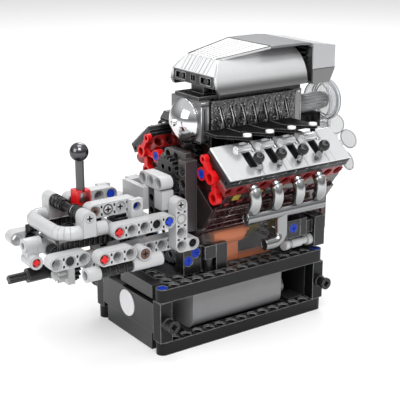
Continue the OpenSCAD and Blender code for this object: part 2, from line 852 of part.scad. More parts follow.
// gearbox
module gearbox_bulkheads() {
  color([0.5, 0.51, 0.52]) {
    difference() {
      union() {
        box(-43.9, -40.1, -12, 12, 46, 74);
        box(-60.9, -55.1, -12, 12, 46, 74);
      }
      rod_x(-62, -39, 0, crank_z, hole_r);
      rod_x(-62, -39, 0, layshaft_z, hole_r);
    }
    difference() {
      box(-87.6, -83.6, -12, 12, 46, 74);
      rod_x(-88, -83, 0, crank_z, hole_r);
      rod_x(-88, -83, 0, layshaft_z, hole_r);
      rod_x(-88, -83, -8, crank_z, hole_r);
    }
  }
}

module lowest_beams() {
  color([0.5, 0.51, 0.52]) both() beam_side(-80, -16 - edge, 60, 8);
}

module lower_beams() {
  color([0.55, 0.56, 0.57]) both() {
    beam_side(-102, -24 - edge, 66, 3);
    beam_side(-78, -32 - edge, 66, 3);
  }
}

module top_beams() {
  color([0.55, 0.56, 0.57]) both() beam_side(-64, -24 - edge, 76, 5);
}

module l_profile(d) {
  difference() {
    union() {
      circle(r = edge);
      translate([-edge, 0]) square([beam_w, 24]);
      translate([0, -edge]) square([8, beam_w]);
      translate([0, 24]) circle(r = edge);
      translate([8, 0]) circle(r = edge);
    }
    for (p = [[0, 0], [0, 8], [0, 16], [0, 24], [8, 0]]) translate(p) circle(d = d);
  }
}
module l_beams() {
  color([0.55, 0.56, 0.57]) both() translate([-24, -24 + edge, 60.1]) rotate([90, 0, 0]) {
    linear_extrude(beam_w) l_profile(rim_d);
    translate([0, 0, rim_depth]) linear_extrude(beam_w - 2 * rim_depth) l_profile(hole_d);
  }
}

module lever_beams() {
  color([0.55, 0.56, 0.57]) both() beam_side(lever_x, -12 - edge, lever_z, 4);
}

module lever_links() {
  color([0.5, 0.51, 0.52]) both() difference() {
    box(-51.9, -44.1, -19.9, -16.1, 72.1, 89.9);
    rod_y(-48, -21, -15, lever_z, hole_r);
    rod_y(-48, -21, -15, 76, hole_r);
    rod_y(-48, -21, -19.9 + rim_depth, 76, rim_d / 2);
  }
}

module cross_beam() {
  color([0.55, 0.56, 0.57]) {
    beam_end(-31.9, -16, 95, 3);
    both() box(-31.9, -24.1, -19.9, -12.1, 80.1, 91);
  }
}

module cross_plate() {
  color([0.5, 0.51, 0.52]) difference() {
    box(-36, -32.1, -6.5, 15.9, 78.1, 91);
    rod_x(-37, -31, -2, 82, hole_r);
  }
}

// U shaped tube: two limbs, two round corners and a straight middle
tube_bend = 9;
module tube_guard() {
  color([0.58, 0.59, 0.6]) both() {
    rod_x(-85.5, -68.3, -20, 78, tube_r);
    translate([-85.5, -20 + tube_bend, 78]) rotate([0, 0, 180]) rotate_extrude(angle = 90)
      translate([tube_bend, 0]) circle(r = tube_r);
    rod_y(-85.5 - tube_bend, -20 + tube_bend, 0, 78, tube_r);
  }
}

module tube_connectors() {
  color([0.55, 0.56, 0.57]) both() difference() {
    union() {
      rod_y(-80, -24.4, -15.6, lever_z, edge);
      box(-83.9, -76.1, -24.4, -15.6, 75.5, lever_z);
    }
    rod_y(-80, -25, -15, lever_z, hole_r);
    rod_x(-90, -70, -20, 78, tube_r + 0.05);
  }
}

module tube_axle() {
  color([0.02, 0.02, 0.022]) {
    rod_y(-80, -23.5, 23.5, lever_z, shaft_r);
    rod_y(-80, -13, -9, lever_z, 3.7);
    rod_y(-80, 4, 9, lever_z, 3.7);
  }
}

module lever_axle() {
  color([0.25, 0.14, 0.07]) rod_y(lever_x, -15.6, 15.6, lever_z, shaft_r);
}

module front_connector() {
  color([0.55, 0.56, 0.57]) difference() {
    union() {
      rod_y(-104, -7.9, 3.9, 61, 3.8);
      rod_x(-107.9, -98, 0, 69.4, 3.9);
      box(-107, -100.4, -3.6, 3.6, 61, 69);
      rod_y(-94, -3.9, 3.9, 66, 3.9);
      box(-101, -94, -3.9, 3.9, 64.5, 69.9);
    }
    rod_y(-104, -9, 5, 61, hole_r);
    rod_y(-94, -5, 5, 66, hole_r);
    rod_x(-109, -102, 0, 69.4, 1.8);
  }
}

module front_spreader() {
  color([0.02, 0.02, 0.022]) {
    rod_y(-94, -27.4, 27.4, 66, shaft_r);
    for (y = [-12, 6]) rod_y(-94, y, y + 6, 66, 3.6);
  }
}

module side_connectors() {
  color([0.55, 0.56, 0.57]) both() {
    difference() {
      rod_x(-88, -80, -32, 58.1, 3.9);
      rod_x(-89, -79, -32, 58.1, hole_r);
    }
    difference() {
      union() {
        rod_y(-53, -32 - edge, -32 + edge, 64, 3.9);
        rod_x(-60, -41, -32, 58.1, 3.9);
      }
      rod_y(-53, -37, -27, 64, hole_r);
      rod_y(-53, -37, -35.9 + rim_depth, 64, rim_d / 2);
      rod_x(-61, -57, -32, 58.1, hole_r);
    }
  }
}

module side_axles() {
  color([0.02, 0.02, 0.022]) both() {
    rod_x(-84, -58, -32, 58.1, shaft_r - 0.1);
    for (x = [-79.8, -74.6, -69.4, -64.2]) rod_x(x, x + 3.8, -32, 58.1, 3.4);
  }
}

module blue_pins() {
  color([0.02, 0.13, 0.6]) both() {
    for (p = mount_pins) pin_y(p[0], -24.5, p[1], 7.4);
    pin_y(51.3, -35.9, 58, 11.4);
    axle_y(-32, -27.9, 76, 7.4);
    pin_y(-48, -15.9, lever_z, 7.4);
    near_bank() pin_x(-7.9, 9, 51.5, 3.7);
  }
}

module red_pins() {
  color([0.75, 0.03, 0.03]) {
    both() {
      axle_y(-64, -27.9, 76, 7.4);
      axle_y(-78, -35.9, 66, 7.4);
    }
    along_y(-104, -7.5, 61) linear_extrude(11) cross(4.5, 1.8);
  }
}

module brown_pins() {
  color([0.22, 0.1, 0.04]) both() {
    pin_y(-53, -35.9, 64, 7.4);
  }
}

module pins_black() {
  color([0.02, 0.02, 0.022]) {
    pin_x(-15.9, -16.5, 100, 7.4);
  }
  color([0.02, 0.02, 0.022]) both() {
    rod_y(72, -29.9, -24, 52, shaft_r);
    pin_y(-48, -19.9, 76, 3.6);
    pin_y(-64, -15.9, lever_z, 7.4);
  }
}

module layshaft() {
  color([0.05, 0.05, 0.055]) {
    rod_x(-87.4, -40.3, 0, layshaft_z, shaft_r);
    gear(-52, -44.4, 0, layshaft_z, 16, phase_lay);
    gear(-65.4, -61.4, 0, layshaft_z, 20, 0);
  }
}

module clutch_ring() {
  color([0.65, 0.05, 0.05]) difference() {
    union() {
      rod_x(-74.7, -69.3, 0, layshaft_z, 6.2);
    }
    rod_x(-75, -69, 0, layshaft_z, shaft_r + 0.05);
    difference() {
      rod_x(-73.7, -70.3, 0, layshaft_z, 7);
      rod_x(-74, -70, 0, layshaft_z, 4.2);
    }
  }
}

module output_axle() {
  color([0.03, 0.03, 0.033]) {
    rod_x(-107, -58.2, 0, crank_z, shaft_r);
    along_x(-117.5, 0, crank_z) linear_extrude(11) cross(4.5, 1.8);
    gear(-65.4, -61.4, 0, crank_z, 12, phase_out_drive);
    gear(-82, -78, 0, crank_z, 16, 0);
    gear(-93, -89, 0, crank_z, 8, 0);
  }
}

module sleeve() {
  color([0.03, 0.03, 0.033]) difference() {
    rod_x(-106.6, -93.4, 0, crank_z, 4);
    rod_x(-107, -93, 0, crank_z, shaft_r);
  }
}

module idle_gear() {
  color([0.05, 0.05, 0.055]) difference() {
    gear(-82, -78, 0, layshaft_z, 16, phase_idle);
    rod_x(-83, -77, 0, layshaft_z, shaft_r + 0.05);
  }
}

module small_gear() {
  color([0.55, 0.56, 0.57]) {
    gear(-93, -89, -8, crank_z, 8, phase_small);
    rod_x(-95, -83.8, -8, crank_z, shaft_r - 0.1);
  }
}

module lever_grip() {
  color([0.8, 0.03, 0.03]) difference() {
    box(lever_x - 4, lever_x + 4, -4, 4, 82, 95);
    rod_y(lever_x, -5, 5, lever_z, hole_r);
    rod_z(lever_x, 0, 90.5, 96, hole_r);
    box(lever_x - 1, lever_x + 1, -5, 5, 92, 96);
    box(lever_x - 0.85, lever_x + 0.85, -2.1, 2.1, 81, 83.2);
  }
}

module lever_tongue() {
  color([0.3, 0.31, 0.32]) box(lever_x - 0.8, lever_x + 0.8, -2, 2, 72.7, 83.1);
}

module lever_bar() {
  color([0.04, 0.04, 0.045]) rod_z(lever_x, 0, 90.7, 112.8, shaft_r);
}

module lever_ball() {
  color([0.12, 0.12, 0.13]) difference() {
    translate([lever_x, 0, 116]) sphere(d = lever_ball_d, $fn = 96);
    rod_z(lever_x, 0, 105, 113, hole_r);
  }
}

/* the nodes that gather several pieces */
module base_frame() {
  rails();
  posts();
  inner_rails();
}
module base_panels() {
  end_panels();
  far_panel_sheet();
}
module base_plates() {
  deck_plates();
  floor_plates();
}
module battery_box() {
  battery_body();
  battery_cover();
}
module drive_motor() {
  motor_can();
  motor_stand();
}
module engine_mounts() {
  mount_blocks();
  side_blocks();
  side_block_collars();
  accessory_blocks();
}
module block_end_plates() {
  front_plate();
  rear_plate();
  bearing_plate();
}
module engine_block() {
  bank_blocks();
  side_panels();
  cylinder_heads();
}
module valve_covers() {
  covers();
  bars();
}
module injector_plates() {
  wing_plates();
  wing_pins();
}
module blower_nose() {
  nose_block();
  nose_dome();
}
module rear_supports() {
  blower_rear();
  ribbed_connector();
}
module scoop_front() {
  scoop_inside();
  scoop_bar();
  scoop_bar_pins();
}
module scoop_wedge() {
  scoop_slope();
  scoop_ramp();
}
module exhaust_pipes() {
  collectors();
  downpipes();
}
module timing_columns() {
  columns();
}
module gearbox_beams() {
  lowest_beams();
  lower_beams();
}
module upper_beams() {
  top_beams();
  l_beams();
  lever_beams();
  lever_links();
  cross_beam();
  cross_plate();
}
module connectors() {
  tube_connectors();
  front_connector();
  side_connectors();
  accessory_pins();
}
module black_axles() {
  tube_axle();
  front_spreader();
  side_axles();
  pins_black();
}
module pins_blue() {
  blue_pins();
  frame_pins();
}
module pins_red() {
  red_pins();
  rear_axle();
}
module pins_brown() {
  brown_pins();
  lever_axle();
}
module output_shaft() {
  output_axle();
  sleeve();
}
module lever_block() {
  lever_grip();
  lever_tongue();
}

base_frame();
stand_pins();
base_panels();
end_disc();
base_plates();
battery_box();
power_knob();
sump_cover();
drive_motor();
engine_mounts();
block_end_plates();
engine_block();
head_beams();
head_connectors();
cover_bases();
valve_covers();
ignition_posts();
intake_manifold();
injector_plates();
blower_case();
blower_nose();
rotor_idler();
rotor_low();
rotor_high();
rear_supports();
clear_disc();
scoop_front();
scoop_sides();
scoop_wedge();
scoop_top_panel();
scoop_rear_box();
exhaust_runners();
exhaust_pipes();
timing_columns();
front_idler_low();
front_idler_high();
rear_idler();
fan();
crankshaft();
pistons_near_outer();
pistons_near_inner();
pistons_far_outer();
pistons_far_inner();
gearbox_bulkheads();
gearbox_beams();
upper_beams();
tube_guard();
connectors();
black_axles();
pins_blue();
pins_red();
pins_brown();
layshaft();
clutch_ring();
output_shaft();
idle_gear();
small_gear();
lever_block();
lever_bar();
lever_ball();
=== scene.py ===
"""Dresses the model V8 engine: moulded plastic, plated chrome, smoke and clear parts, and studio light.

The trim's lengths are in millimetres. X runs towards the fan, -Y towards the near side, and Z is up.
"""
import math

import bmesh
import bpy
from mathutils import Matrix, Vector


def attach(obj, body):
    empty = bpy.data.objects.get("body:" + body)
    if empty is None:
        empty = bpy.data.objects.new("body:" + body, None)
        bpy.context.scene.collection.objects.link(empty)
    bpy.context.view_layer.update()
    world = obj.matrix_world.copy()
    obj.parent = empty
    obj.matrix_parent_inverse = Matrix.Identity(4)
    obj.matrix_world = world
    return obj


MM = 0.001
CRANK_Z = 52.0  # height of the crankshaft, from which both banks lean out
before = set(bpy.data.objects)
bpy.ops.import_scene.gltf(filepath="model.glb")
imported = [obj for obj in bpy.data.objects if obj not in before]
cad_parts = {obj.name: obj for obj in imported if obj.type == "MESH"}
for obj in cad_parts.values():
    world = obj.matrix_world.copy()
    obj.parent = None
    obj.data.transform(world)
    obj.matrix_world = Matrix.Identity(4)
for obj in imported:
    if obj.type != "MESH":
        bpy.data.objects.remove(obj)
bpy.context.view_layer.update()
scene = bpy.context.scene


# Camera at the photograph's angle
CAMERA_SPOT = Vector((-319, -467, 254)) * MM
CAMERA_TURN, CAMERA_DROP = -35.0, 17.5
LENS, SENSOR, FAR_CLIP = 90.0, 36.0, 40.0

camera = bpy.data.objects.new("camera", bpy.data.cameras.new("camera"))
camera.data.sensor_width = SENSOR
camera.data.lens = LENS
camera.data.clip_end = FAR_CLIP
camera.location = CAMERA_SPOT
turn, drop = math.radians(CAMERA_TURN), math.radians(CAMERA_DROP)
look = Vector((-math.sin(turn) * math.cos(drop), math.cos(turn) * math.cos(drop), -math.sin(drop)))
camera.rotation_euler = look.to_track_quat("-Z", "Y").to_euler()
scene.collection.objects.link(camera)
scene.camera = camera
scene.view_settings.view_transform = "Standard"


class Wire:
    """A socket that can be added, multiplied and compared in plain Python."""

    def __init__(self, mat, socket):
        self.mat, self.socket = mat, socket

    def _math(self, operation, other, swap=False):
        pair = (other, self) if swap else (self, other)
        return self.mat.node("ShaderNodeMath", {"operation": operation}, {0: pair[0], 1: pair[1]})

    def __add__(self, other):
        return self._math("ADD", other)

    def __radd__(self, other):
        return self._math("ADD", other, True)

    def __sub__(self, other):
        return self._math("SUBTRACT", other)

    def __rsub__(self, other):
        return self._math("SUBTRACT", other, True)

    def __mul__(self, other):
        return self._math("MULTIPLY", other)

    def __rmul__(self, other):
        return self._math("MULTIPLY", other, True)

    def __gt__(self, other):
        return self._math("GREATER_THAN", other)

    def __lt__(self, other):
        return self._math("LESS_THAN", other)


class Finish:
    """A material with its nodes, built from Python expressions."""

    # one less the cosine between the true and the rounded surface, where an edge starts to show and is full
    EDGE_START, EDGE_FULL = 0.004, 0.12

    def __init__(self, name):
        self.material = bpy.data.materials.new(name)
        self.material.use_nodes = True
        self.tree = self.material.node_tree
        self.tree.nodes.clear()
        self.output = self.tree.nodes.new("ShaderNodeOutputMaterial")
        place = self.tree.nodes.new("ShaderNodeTexCoord")
        self.place = Wire(self, place.outputs["Object"])

    def node(self, kind, settings=None, inputs=None, out=0):
        made = self.tree.nodes.new(kind)
        for key, value in (settings or {}).items():
            setattr(made, key, value)
        for key, value in (inputs or {}).items():
            socket = made.inputs[key]
            if isinstance(value, Wire):
                self.tree.links.new(value.socket, socket)
            else:
                socket.default_value = value
        return Wire(self, made.outputs[out])

    def noise(self, scale, detail=2.0):
        values = {"Vector": self.place, "Scale": scale, "Detail": detail}
        return self.node("ShaderNodeTexNoise", inputs=values)

    def mix(self, factor, a, b):
        return self.node("ShaderNodeMix", {"data_type": "RGBA"}, {0: factor, 6: a, 7: b}, out=2)

    def bump(self, height, strength, distance):
        values = {"Height": height, "Strength": strength, "Distance": distance}
        return self.node("ShaderNodeBump", inputs=values)

    def rounded(self, radius):
        return self.node("ShaderNodeBevel", {"samples": 4}, {"Radius": radius})

    def edge(self, radius):
        """1 on the rounded edges of a piece and 0 on its flat faces."""
        plain = self.tree.nodes.new("ShaderNodeNewGeometry")
        soft = self.rounded(radius)
        dot = self.node("ShaderNodeVectorMath", {"operation": "DOT_PRODUCT"},
                        {0: soft, 1: Wire(self, plain.outputs["Normal"])}, out=1)
        return self.span(1.0 - dot, self.EDGE_START, self.EDGE_FULL)

    def span(self, value, start, end, low=0.0, high=1.0, soft=False):
        """The value from start to end laid over low to high, and held there beyond them."""
        kind = "SMOOTHSTEP" if soft else "LINEAR"
        return self.node("ShaderNodeMapRange", {"interpolation_type": kind},
                         {0: value, 1: start, 2: end, 3: low, 4: high})

    def facing_up(self):
        """1 where the surface looks up, -1 where it looks down."""
        normal = Wire(self, self.tree.nodes.new("ShaderNodeNewGeometry").outputs["Normal"])
        return self.node("ShaderNodeSeparateXYZ", inputs={0: normal}, out=2)

    def size_of(self, value):
        return self.node("ShaderNodeMath", {"operation": "ABSOLUTE"}, {0: value})

    def axis(self, n):
        """The place along X, Y or Z, in metres."""
        return self.node("ShaderNodeSeparateXYZ", inputs={0: self.place}, out=n)

    def bank_height(self):
        """Distance out along the leaning cylinders, the same on both banks."""
        return self.size_of(self.axis(1)) * 0.6 + (self.axis(2) - CRANK_Z * MM) * 0.8

    def blotch(self, scale, edge, fringe=0.06):
        """Soft-edged spots; a higher edge leaves fewer of them."""
        return self.span(self.noise(scale, 3.0), edge - fringe, edge + fringe)

    def seams(self, lines):
        """Thin dark lines: each is (axis, place, half width)."""
        total = None
        for n, spot, half in lines:
            line = self.size_of(self.axis(n) - spot) < half
            if total is None:
                total = line
            else:
                total = self.node("ShaderNodeMath", {"operation": "MAXIMUM"}, {0: total, 1: line})
        return total

    def shade(self, values):
        shader = self.node("ShaderNodeBsdfPrincipled", inputs=values)
        self.tree.links.new(shader.socket, self.output.inputs["Surface"])
        return self.material


# Finishes. Their places are in metres, as the shader sees them.
PIN_TOPS = 0.12095  # height over which the injector plates are silver
PAINTED_LIGHT_END = -0.0154  # X below which the battery box's end is painted pale, as painted light falling on it
COVER_BLACK = 0.0696  # distance along the cylinders under which a cover is black
COVER_SEAMS = [(0, x, 0.00012) for x in (0.036, 0.068)]
SLOPE_SEAMS = [(1, y * MM, 0.00016) for y in (-9.6, -4.8, 0.0, 4.8, 9.6)]
PLATED_EDGE = 0.0005
DULLER = 0.22  # roughness that unplated plastic has over plating


def rgba(colour, scale=1.0):
    return (colour[0] * scale, colour[1] * scale, colour[2] * scale, 1.0)


def moulded(name, colour, rough=0.32, edge_lift=0.25, coat=0.25, radius=0.00045, spots=(), spec=0.5):
    """Moulded plastic: faint flow marks, a fine skin and edges with painted light.

    edge_lift above zero brightens the edges as a painted highlight; below zero it darkens them as painted
    shade, a dark outline.
    spots are (mask, colour) pairs laid over the plastic.
    """
    f = Finish(name)
    flow = f.noise(55.0, 3.0)
    skin = f.noise(900.0, 2.0)
    # painted light on the edges, broken up by noise: a highlight where edge_lift is above zero and a dark
    # outline of shade where it is below
    painted_edge_light = f.edge(radius) * (0.55 + 0.45 * f.noise(160.0, 2.0))
    pale = tuple(min(1.0, max(0.0, c + edge_lift)) for c in colour)
    body = f.mix(flow, rgba(colour, 0.88), rgba(colour, 1.12))
    base = f.mix(painted_edge_light, body, rgba(pale))
    for mask, other in spots:
        base = f.mix(mask(f), base, rgba(other))
    bump = f.bump(skin * 0.4 + flow * 0.6, 0.12, 0.0002)
    f.tree.links.new(f.rounded(radius).socket, bump.socket.node.inputs["Normal"])
    return f.shade({
        "Base Color": base, "Roughness": rough + 0.14 * flow - 0.05 * painted_edge_light, "Normal": bump,
        "Coat Weight": coat, "Coat Roughness": 0.12, "Specular IOR Level": spec})


def plated(name, colour, rough=0.06, metal=1.0, wave=0.25, low=0.42, lines=None, dark_below=None, band=None,
           beyond=None):
    """Chrome plated plastic with a painted reflection, bright on top and darker where it turns down, painted
    highlights on its edges, slow ripples and a faint haze.

    low is the share of the colour that the painted reflection leaves on a face that looks down, and lines are
    seams.
    Below dark_below, measured out along the leaning cylinders, the plastic is black.
    band is (height, height where it has faded out, grey level), and beyond is (x, colour past it).
    """
    f = Finish(name)
    ripple = f.noise(22.0, 1.0)
    haze = f.noise(260.0, 3.0)
    painted_edge_light = f.edge(PLATED_EDGE)
    # painted reflection: a face that looks down keeps only the low share of the colour
    level = f.span(f.facing_up(), -0.45, 0.55, low, 1.0, soft=True)
    base = f.mix(haze, rgba(colour, 0.94), rgba(colour, 1.0))
    base = f.mix(level, rgba(colour, low), base)
    # painted highlight: the edges are mixed towards white
    base = f.mix(painted_edge_light * 0.35, base, rgba((1.0, 1.0, 1.0)))
    rough_to = rough + 0.07 * haze
    metal_to = metal
    if band:
        start, end, dark = band
        fade = f.span(f.axis(2), start, end, 1.0, 0.0, soft=True)
        base = f.mix(fade, base, rgba((dark, dark, dark)))
    if beyond:
        back, other = beyond
        past = f.axis(0) > back
        base = f.mix(past, base, rgba(other))
        metal_to = metal - past * (metal - 0.5)
        rough_to = rough_to + past * DULLER
    if lines:
        seam = f.seams(lines)
        base = f.mix(seam * 0.7, base, rgba((0.12, 0.12, 0.125)))
    if dark_below:
        under = f.bank_height() < dark_below
        base = f.mix(under, base, rgba((0.02, 0.02, 0.022)))
        metal_to = metal * (1.0 - under)
        rough_to = rough_to + under * DULLER
    bump = f.bump(ripple, wave, 0.0004)
    f.tree.links.new(f.rounded(PLATED_EDGE).socket, bump.socket.node.inputs["Normal"])
    return f.shade({"Base Color": base, "Metallic": metal_to, "Roughness": rough_to, "Normal": bump})


def tinted(name, colour, alpha, rough=0.08, lift=0.25, grazing=0.6, grain=None):
    """Clear or smoke plastic: thin where it faces the eye, denser at its edges, with its edges painted pale
    as a painted highlight.

    grain is the scale of dark crumbs that show through the piece and of pale painted glints over them.
    """
    f = Finish(name)
    flow = f.noise(70.0, 2.0)
    rim = f.edge(0.0006)
    facing = f.node("ShaderNodeLayerWeight", inputs={"Blend": 0.35}, out=1)
    pale = tuple(min(1.0, c + lift) for c in colour)
    # the edges are lifted by lift towards pale: a painted highlight
    base = f.mix(rim * 0.8, f.mix(flow, rgba(colour, 0.8), rgba(colour, 1.2)), rgba(pale))
    bump = f.bump(flow, 0.1, 0.0002)
    if grain:
        crumbs = f.blotch(grain, 0.55)
        # pale spots over the dark crumbs are painted glints
        painted_glints = f.blotch(grain * 1.7, 0.63)
        base = f.mix(crumbs * 0.8, base, rgba((0.008, 0.007, 0.008)))
        base = f.mix(painted_glints * 0.85, base, rgba((0.75, 0.75, 0.76)))
    f.tree.links.new(f.rounded(0.0005).socket, bump.socket.node.inputs["Normal"])
    return f.shade({
        "Base Color": base, "Alpha": alpha + (0.95 - alpha) * facing * grazing + 0.25 * rim,
        "Roughness": rough + 0.06 * flow, "Normal": bump, "Coat Weight": 0.6, "Coat Roughness": 0.04})


# Moulded finishes with edge_lift above zero carry painted highlights on their edges, and below zero painted
# shade as dark outlines; every plated finish carries a painted reflection, darker on faces that look down,
# and painted highlights on its edges.
frame_black = moulded("satin black plastic", (0.005, 0.0052, 0.0058), 0.34, 0.55, coat=0.02, radius=0.0006,
                      spec=0.24)
beam_black = moulded("black plastic", (0.004, 0.004, 0.0045), 0.28, 0.22, coat=0.05, spec=0.36)
plate_black = moulded("black plastic with silver pins", (0.004, 0.0035, 0.004), 0.42, 0.40, coat=0.0,
                      spec=0.12, spots=[(lambda f: f.axis(2) > PIN_TOPS, (0.86, 0.87, 0.88))])
block_black = moulded("black plates over red", (0.010, 0.006, 0.006), 0.24, 0.16, coat=0.25,
                      spots=[(lambda f: f.blotch(60.0, 0.56), (0.06, 0.008, 0.008))])
panel_grey = moulded("dark grey panel", (0.022, 0.0222, 0.0235), 0.30, 0.20, coat=0.15, spec=0.4)
block_dark = moulded("dark grey gloss plastic", (0.009, 0.009, 0.010), 0.20, 0.55, coat=0.1, radius=0.0006,
                     spec=0.34)
# edge_lift below zero: dark outlines of painted shade on the edges
light_grey = moulded("light grey plastic", (0.47, 0.474, 0.48), 0.28, -0.30, radius=0.0005)
column_grey = moulded("grey smoke column", (0.045, 0.038, 0.039), 0.26, 0.30, coat=0.1, spec=0.4)
rear_grey = plated("grey end block", (0.30, 0.305, 0.31), 0.3, 0.5, low=0.7)
top_grey = plated("ribbed grey top", (0.15, 0.153, 0.158), 0.5, 0.15, low=0.9)
box_metal = plated("grey metallic box", (0.52, 0.525, 0.535), 0.36, 0.5, low=0.9, band=(0.1494, 0.1500, 0.22))
# the end of the battery box is painted pale: painted light
box_grey = moulded("mid grey plastic", (0.25, 0.25, 0.255), 0.34, 0.10,
                   spots=[(lambda f: f.axis(0) < PAINTED_LIGHT_END, (0.62, 0.62, 0.63))])
red = moulded("red plastic", (0.68, 0.005, 0.007), 0.28, 0.06, coat=0.15, spec=0.3)
# a darker copy of the red: painted shade on the beams under the covers
red_beam_painted_shade = moulded("red beam plastic with painted shade", (0.25, 0.004, 0.005), 0.3, 0.06, coat=0.2)
blue = moulded("blue plastic", (0.003, 0.045, 0.50), 0.32, 0.05, coat=0.05, spec=0.25)
brown = moulded("brown plastic", (0.10, 0.036, 0.016), 0.35, 0.10)
orange = moulded("orange plastic", (1.0, 0.27, 0.08), 0.4, 0.1)
olive = moulded("olive plastic", (0.36, 0.27, 0.02), 0.28, 0.2, coat=0.4)
white = moulded("plain white disc", (0.85, 0.85, 0.86), 0.4, 0.05)
# band: the scoop sides are painted dark towards the bottom, a painted reflection
side_chrome = plated("scoop side chrome", (0.86, 0.865, 0.87), 0.22, 0.62, wave=0.1, low=0.7,
                     band=(0.1445, 0.1500, 0.17))
nose_chrome = plated("nose chrome", (0.93, 0.94, 0.95), beyond=(-0.00192, (0.16, 0.16, 0.165)))
pipe_chrome = plated("exhaust chrome", (0.66, 0.67, 0.68), 0.15, low=0.22)
# a darker copy of the exhaust chrome: painted shade on the pipes
pipe_painted_shade = plated("exhaust chrome with painted shade", (0.40, 0.405, 0.41), 0.2, low=0.3)
cover_chrome = plated("cover chrome over black", (0.93, 0.94, 0.95), 0.16, 0.70, low=0.5, lines=COVER_SEAMS,
                      dark_below=COVER_BLACK)
slope_chrome = plated("panelled chrome", (0.84, 0.845, 0.85), 0.34, 0.25, low=0.9, lines=SLOPE_SEAMS,
                      band=(0.1606, 0.1601, 0.56))
silver = plated("silver plating", (0.78, 0.79, 0.81), 0.16)
steel_grey = plated("grey metallic plastic", (0.36, 0.365, 0.375), 0.38, 0.55, low=0.8)
bar_dark = plated("dark metallic bar", (0.11, 0.11, 0.115), 0.34, 0.6, low=0.8)
ball_dark = plated("dark metallic ball", (0.14, 0.14, 0.15), 0.13, 0.95, low=0.3)
smoke = tinted("smoke clear plastic", (0.14, 0.13, 0.13), 0.09, grazing=0.22)
smoke_red = tinted("red smoke plastic", (0.035, 0.009, 0.010), 0.74, lift=0.10)
case_smoke = tinted("blower smoke plastic", (0.045, 0.043, 0.045), 0.74, lift=0.6, grain=520.0)
clear = tinted("clear plastic", (0.50, 0.52, 0.54), 0.22, lift=0.1)
# used for real dark seams and for painted shade in recesses, gaps and under parts
seam_and_shade_black = moulded("dark seam and painted shade", (0.004, 0.004, 0.0045), 0.4, 0.02, coat=0.0, spec=0.2)
# painted highlights on the plate edges in the red smoke block
edge_shine = plated("shining plate edge", (0.42, 0.36, 0.35), 0.2, 0.8, low=0.6)
# a darker copy of the red: painted shade in the lever window and under the covers
red_painted_shade = moulded("red plastic with painted shade", (0.24, 0.004, 0.006), 0.3, 0.05, coat=0.4)
# painted highlights on the blower's ribs and the nose block's edges
painted_highlight_edge = plated("painted highlight on edges", (0.93, 0.93, 0.94), 0.12, 0.5, low=0.6)
clear_rim = moulded("clear rim", (0.36, 0.38, 0.39), 0.2, 0.3, coat=0.6)

MATERIALS = {
    frame_black: ["base_frame"],
    panel_grey: ["base_panels", "base_plates"],
    block_dark: ["engine_mounts", "scoop_front"],
    column_grey: ["timing_columns"],
    block_black: ["block_end_plates", "intake_manifold"],
    plate_black: ["injector_plates"],
    beam_black: ["cover_bases", "stand_pins", "ignition_posts", "front_idler_low", "front_idler_high",
                 "rotor_idler", "rear_idler", "black_axles", "layshaft", "output_shaft", "idle_gear"],
    light_grey: ["gearbox_bulkheads", "gearbox_beams", "upper_beams", "tube_guard", "connectors",
                 "small_gear"],
    rear_grey: ["rear_supports"],
    box_grey: ["battery_box", "power_knob"],
    red: ["head_connectors", "pins_red", "lever_block", "clutch_ring"],
    red_beam_painted_shade: ["head_beams"],
    blue: ["pins_blue"],
    brown: ["pins_brown"],
    orange: ["drive_motor"],
    olive: ["pistons_near_outer", "pistons_near_inner", "pistons_far_outer", "pistons_far_inner"],
    white: ["end_disc"],
    nose_chrome: ["blower_nose"],
    side_chrome: ["scoop_sides"],
    cover_chrome: ["valve_covers"],
    slope_chrome: ["scoop_wedge"],
    pipe_chrome: ["exhaust_runners"],
    pipe_painted_shade: ["exhaust_pipes"],
    silver: ["rotor_low", "rotor_high", "crankshaft"],
    top_grey: ["scoop_top_panel"],
    box_metal: ["scoop_rear_box"],
    ball_dark: ["lever_ball"],
    bar_dark: ["lever_bar"],
    smoke: ["sump_cover"],
    smoke_red: ["engine_block"],
    case_smoke: ["blower_case"],
    clear: ["clear_disc", "fan"],
}
for material, names in MATERIALS.items():
    for name in names:
        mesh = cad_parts[name].data
        mesh.materials.clear()
        mesh.materials.append(material)


# What repeats is made by geometry nodes
FLUTE_SIDES = 8


def node_tree(title, inputs):
    """A geometry tree with named inputs and its input and output nodes."""
    tree = bpy.data.node_groups.new(title, "GeometryNodeTree")
    tree.interface.new_socket("Geometry", in_out="OUTPUT", socket_type="NodeSocketGeometry")
    for label, kind in inputs:
        tree.interface.new_socket(label, in_out="INPUT", socket_type=kind)
    return tree, tree.nodes.new("NodeGroupInput"), tree.nodes.new("NodeGroupOutput")


def spread(tree, enter, leave, points, shape):
    """Puts the shape on every point, makes it real and gives it its finish."""
    place, solid, skin = (tree.nodes.new(kind) for kind in (
        "GeometryNodeInstanceOnPoints", "GeometryNodeRealizeInstances", "GeometryNodeSetMaterial"))
    link = tree.links.new
    link(points, place.inputs["Points"])
    link(shape, place.inputs["Instance"])
    link(place.outputs[0], solid.inputs[0])
    link(solid.outputs[0], skin.inputs["Geometry"])
    link(enter.outputs["Finish"], skin.inputs["Material"])
    link(skin.outputs[0], leave.inputs[0])


def row_tree():
    """Blocks of one size along a straight line."""
    tree, enter, leave = node_tree("row of blocks", [
        ("Size", "NodeSocketVector"), ("Start", "NodeSocketVector"), ("Step", "NodeSocketVector"),
        ("Count", "NodeSocketInt"), ("Finish", "NodeSocketMaterial")])
    line, block = tree.nodes.new("GeometryNodeMeshLine"), tree.nodes.new("GeometryNodeMeshCube")
    for label, socket in (("Count", "Count"), ("Start", "Start Location"), ("Step", "Offset")):
        tree.links.new(enter.outputs[label], line.inputs[socket])
    tree.links.new(enter.outputs["Size"], block.inputs["Size"])
    spread(tree, enter, leave, line.outputs[0], block.outputs[0])
    return tree


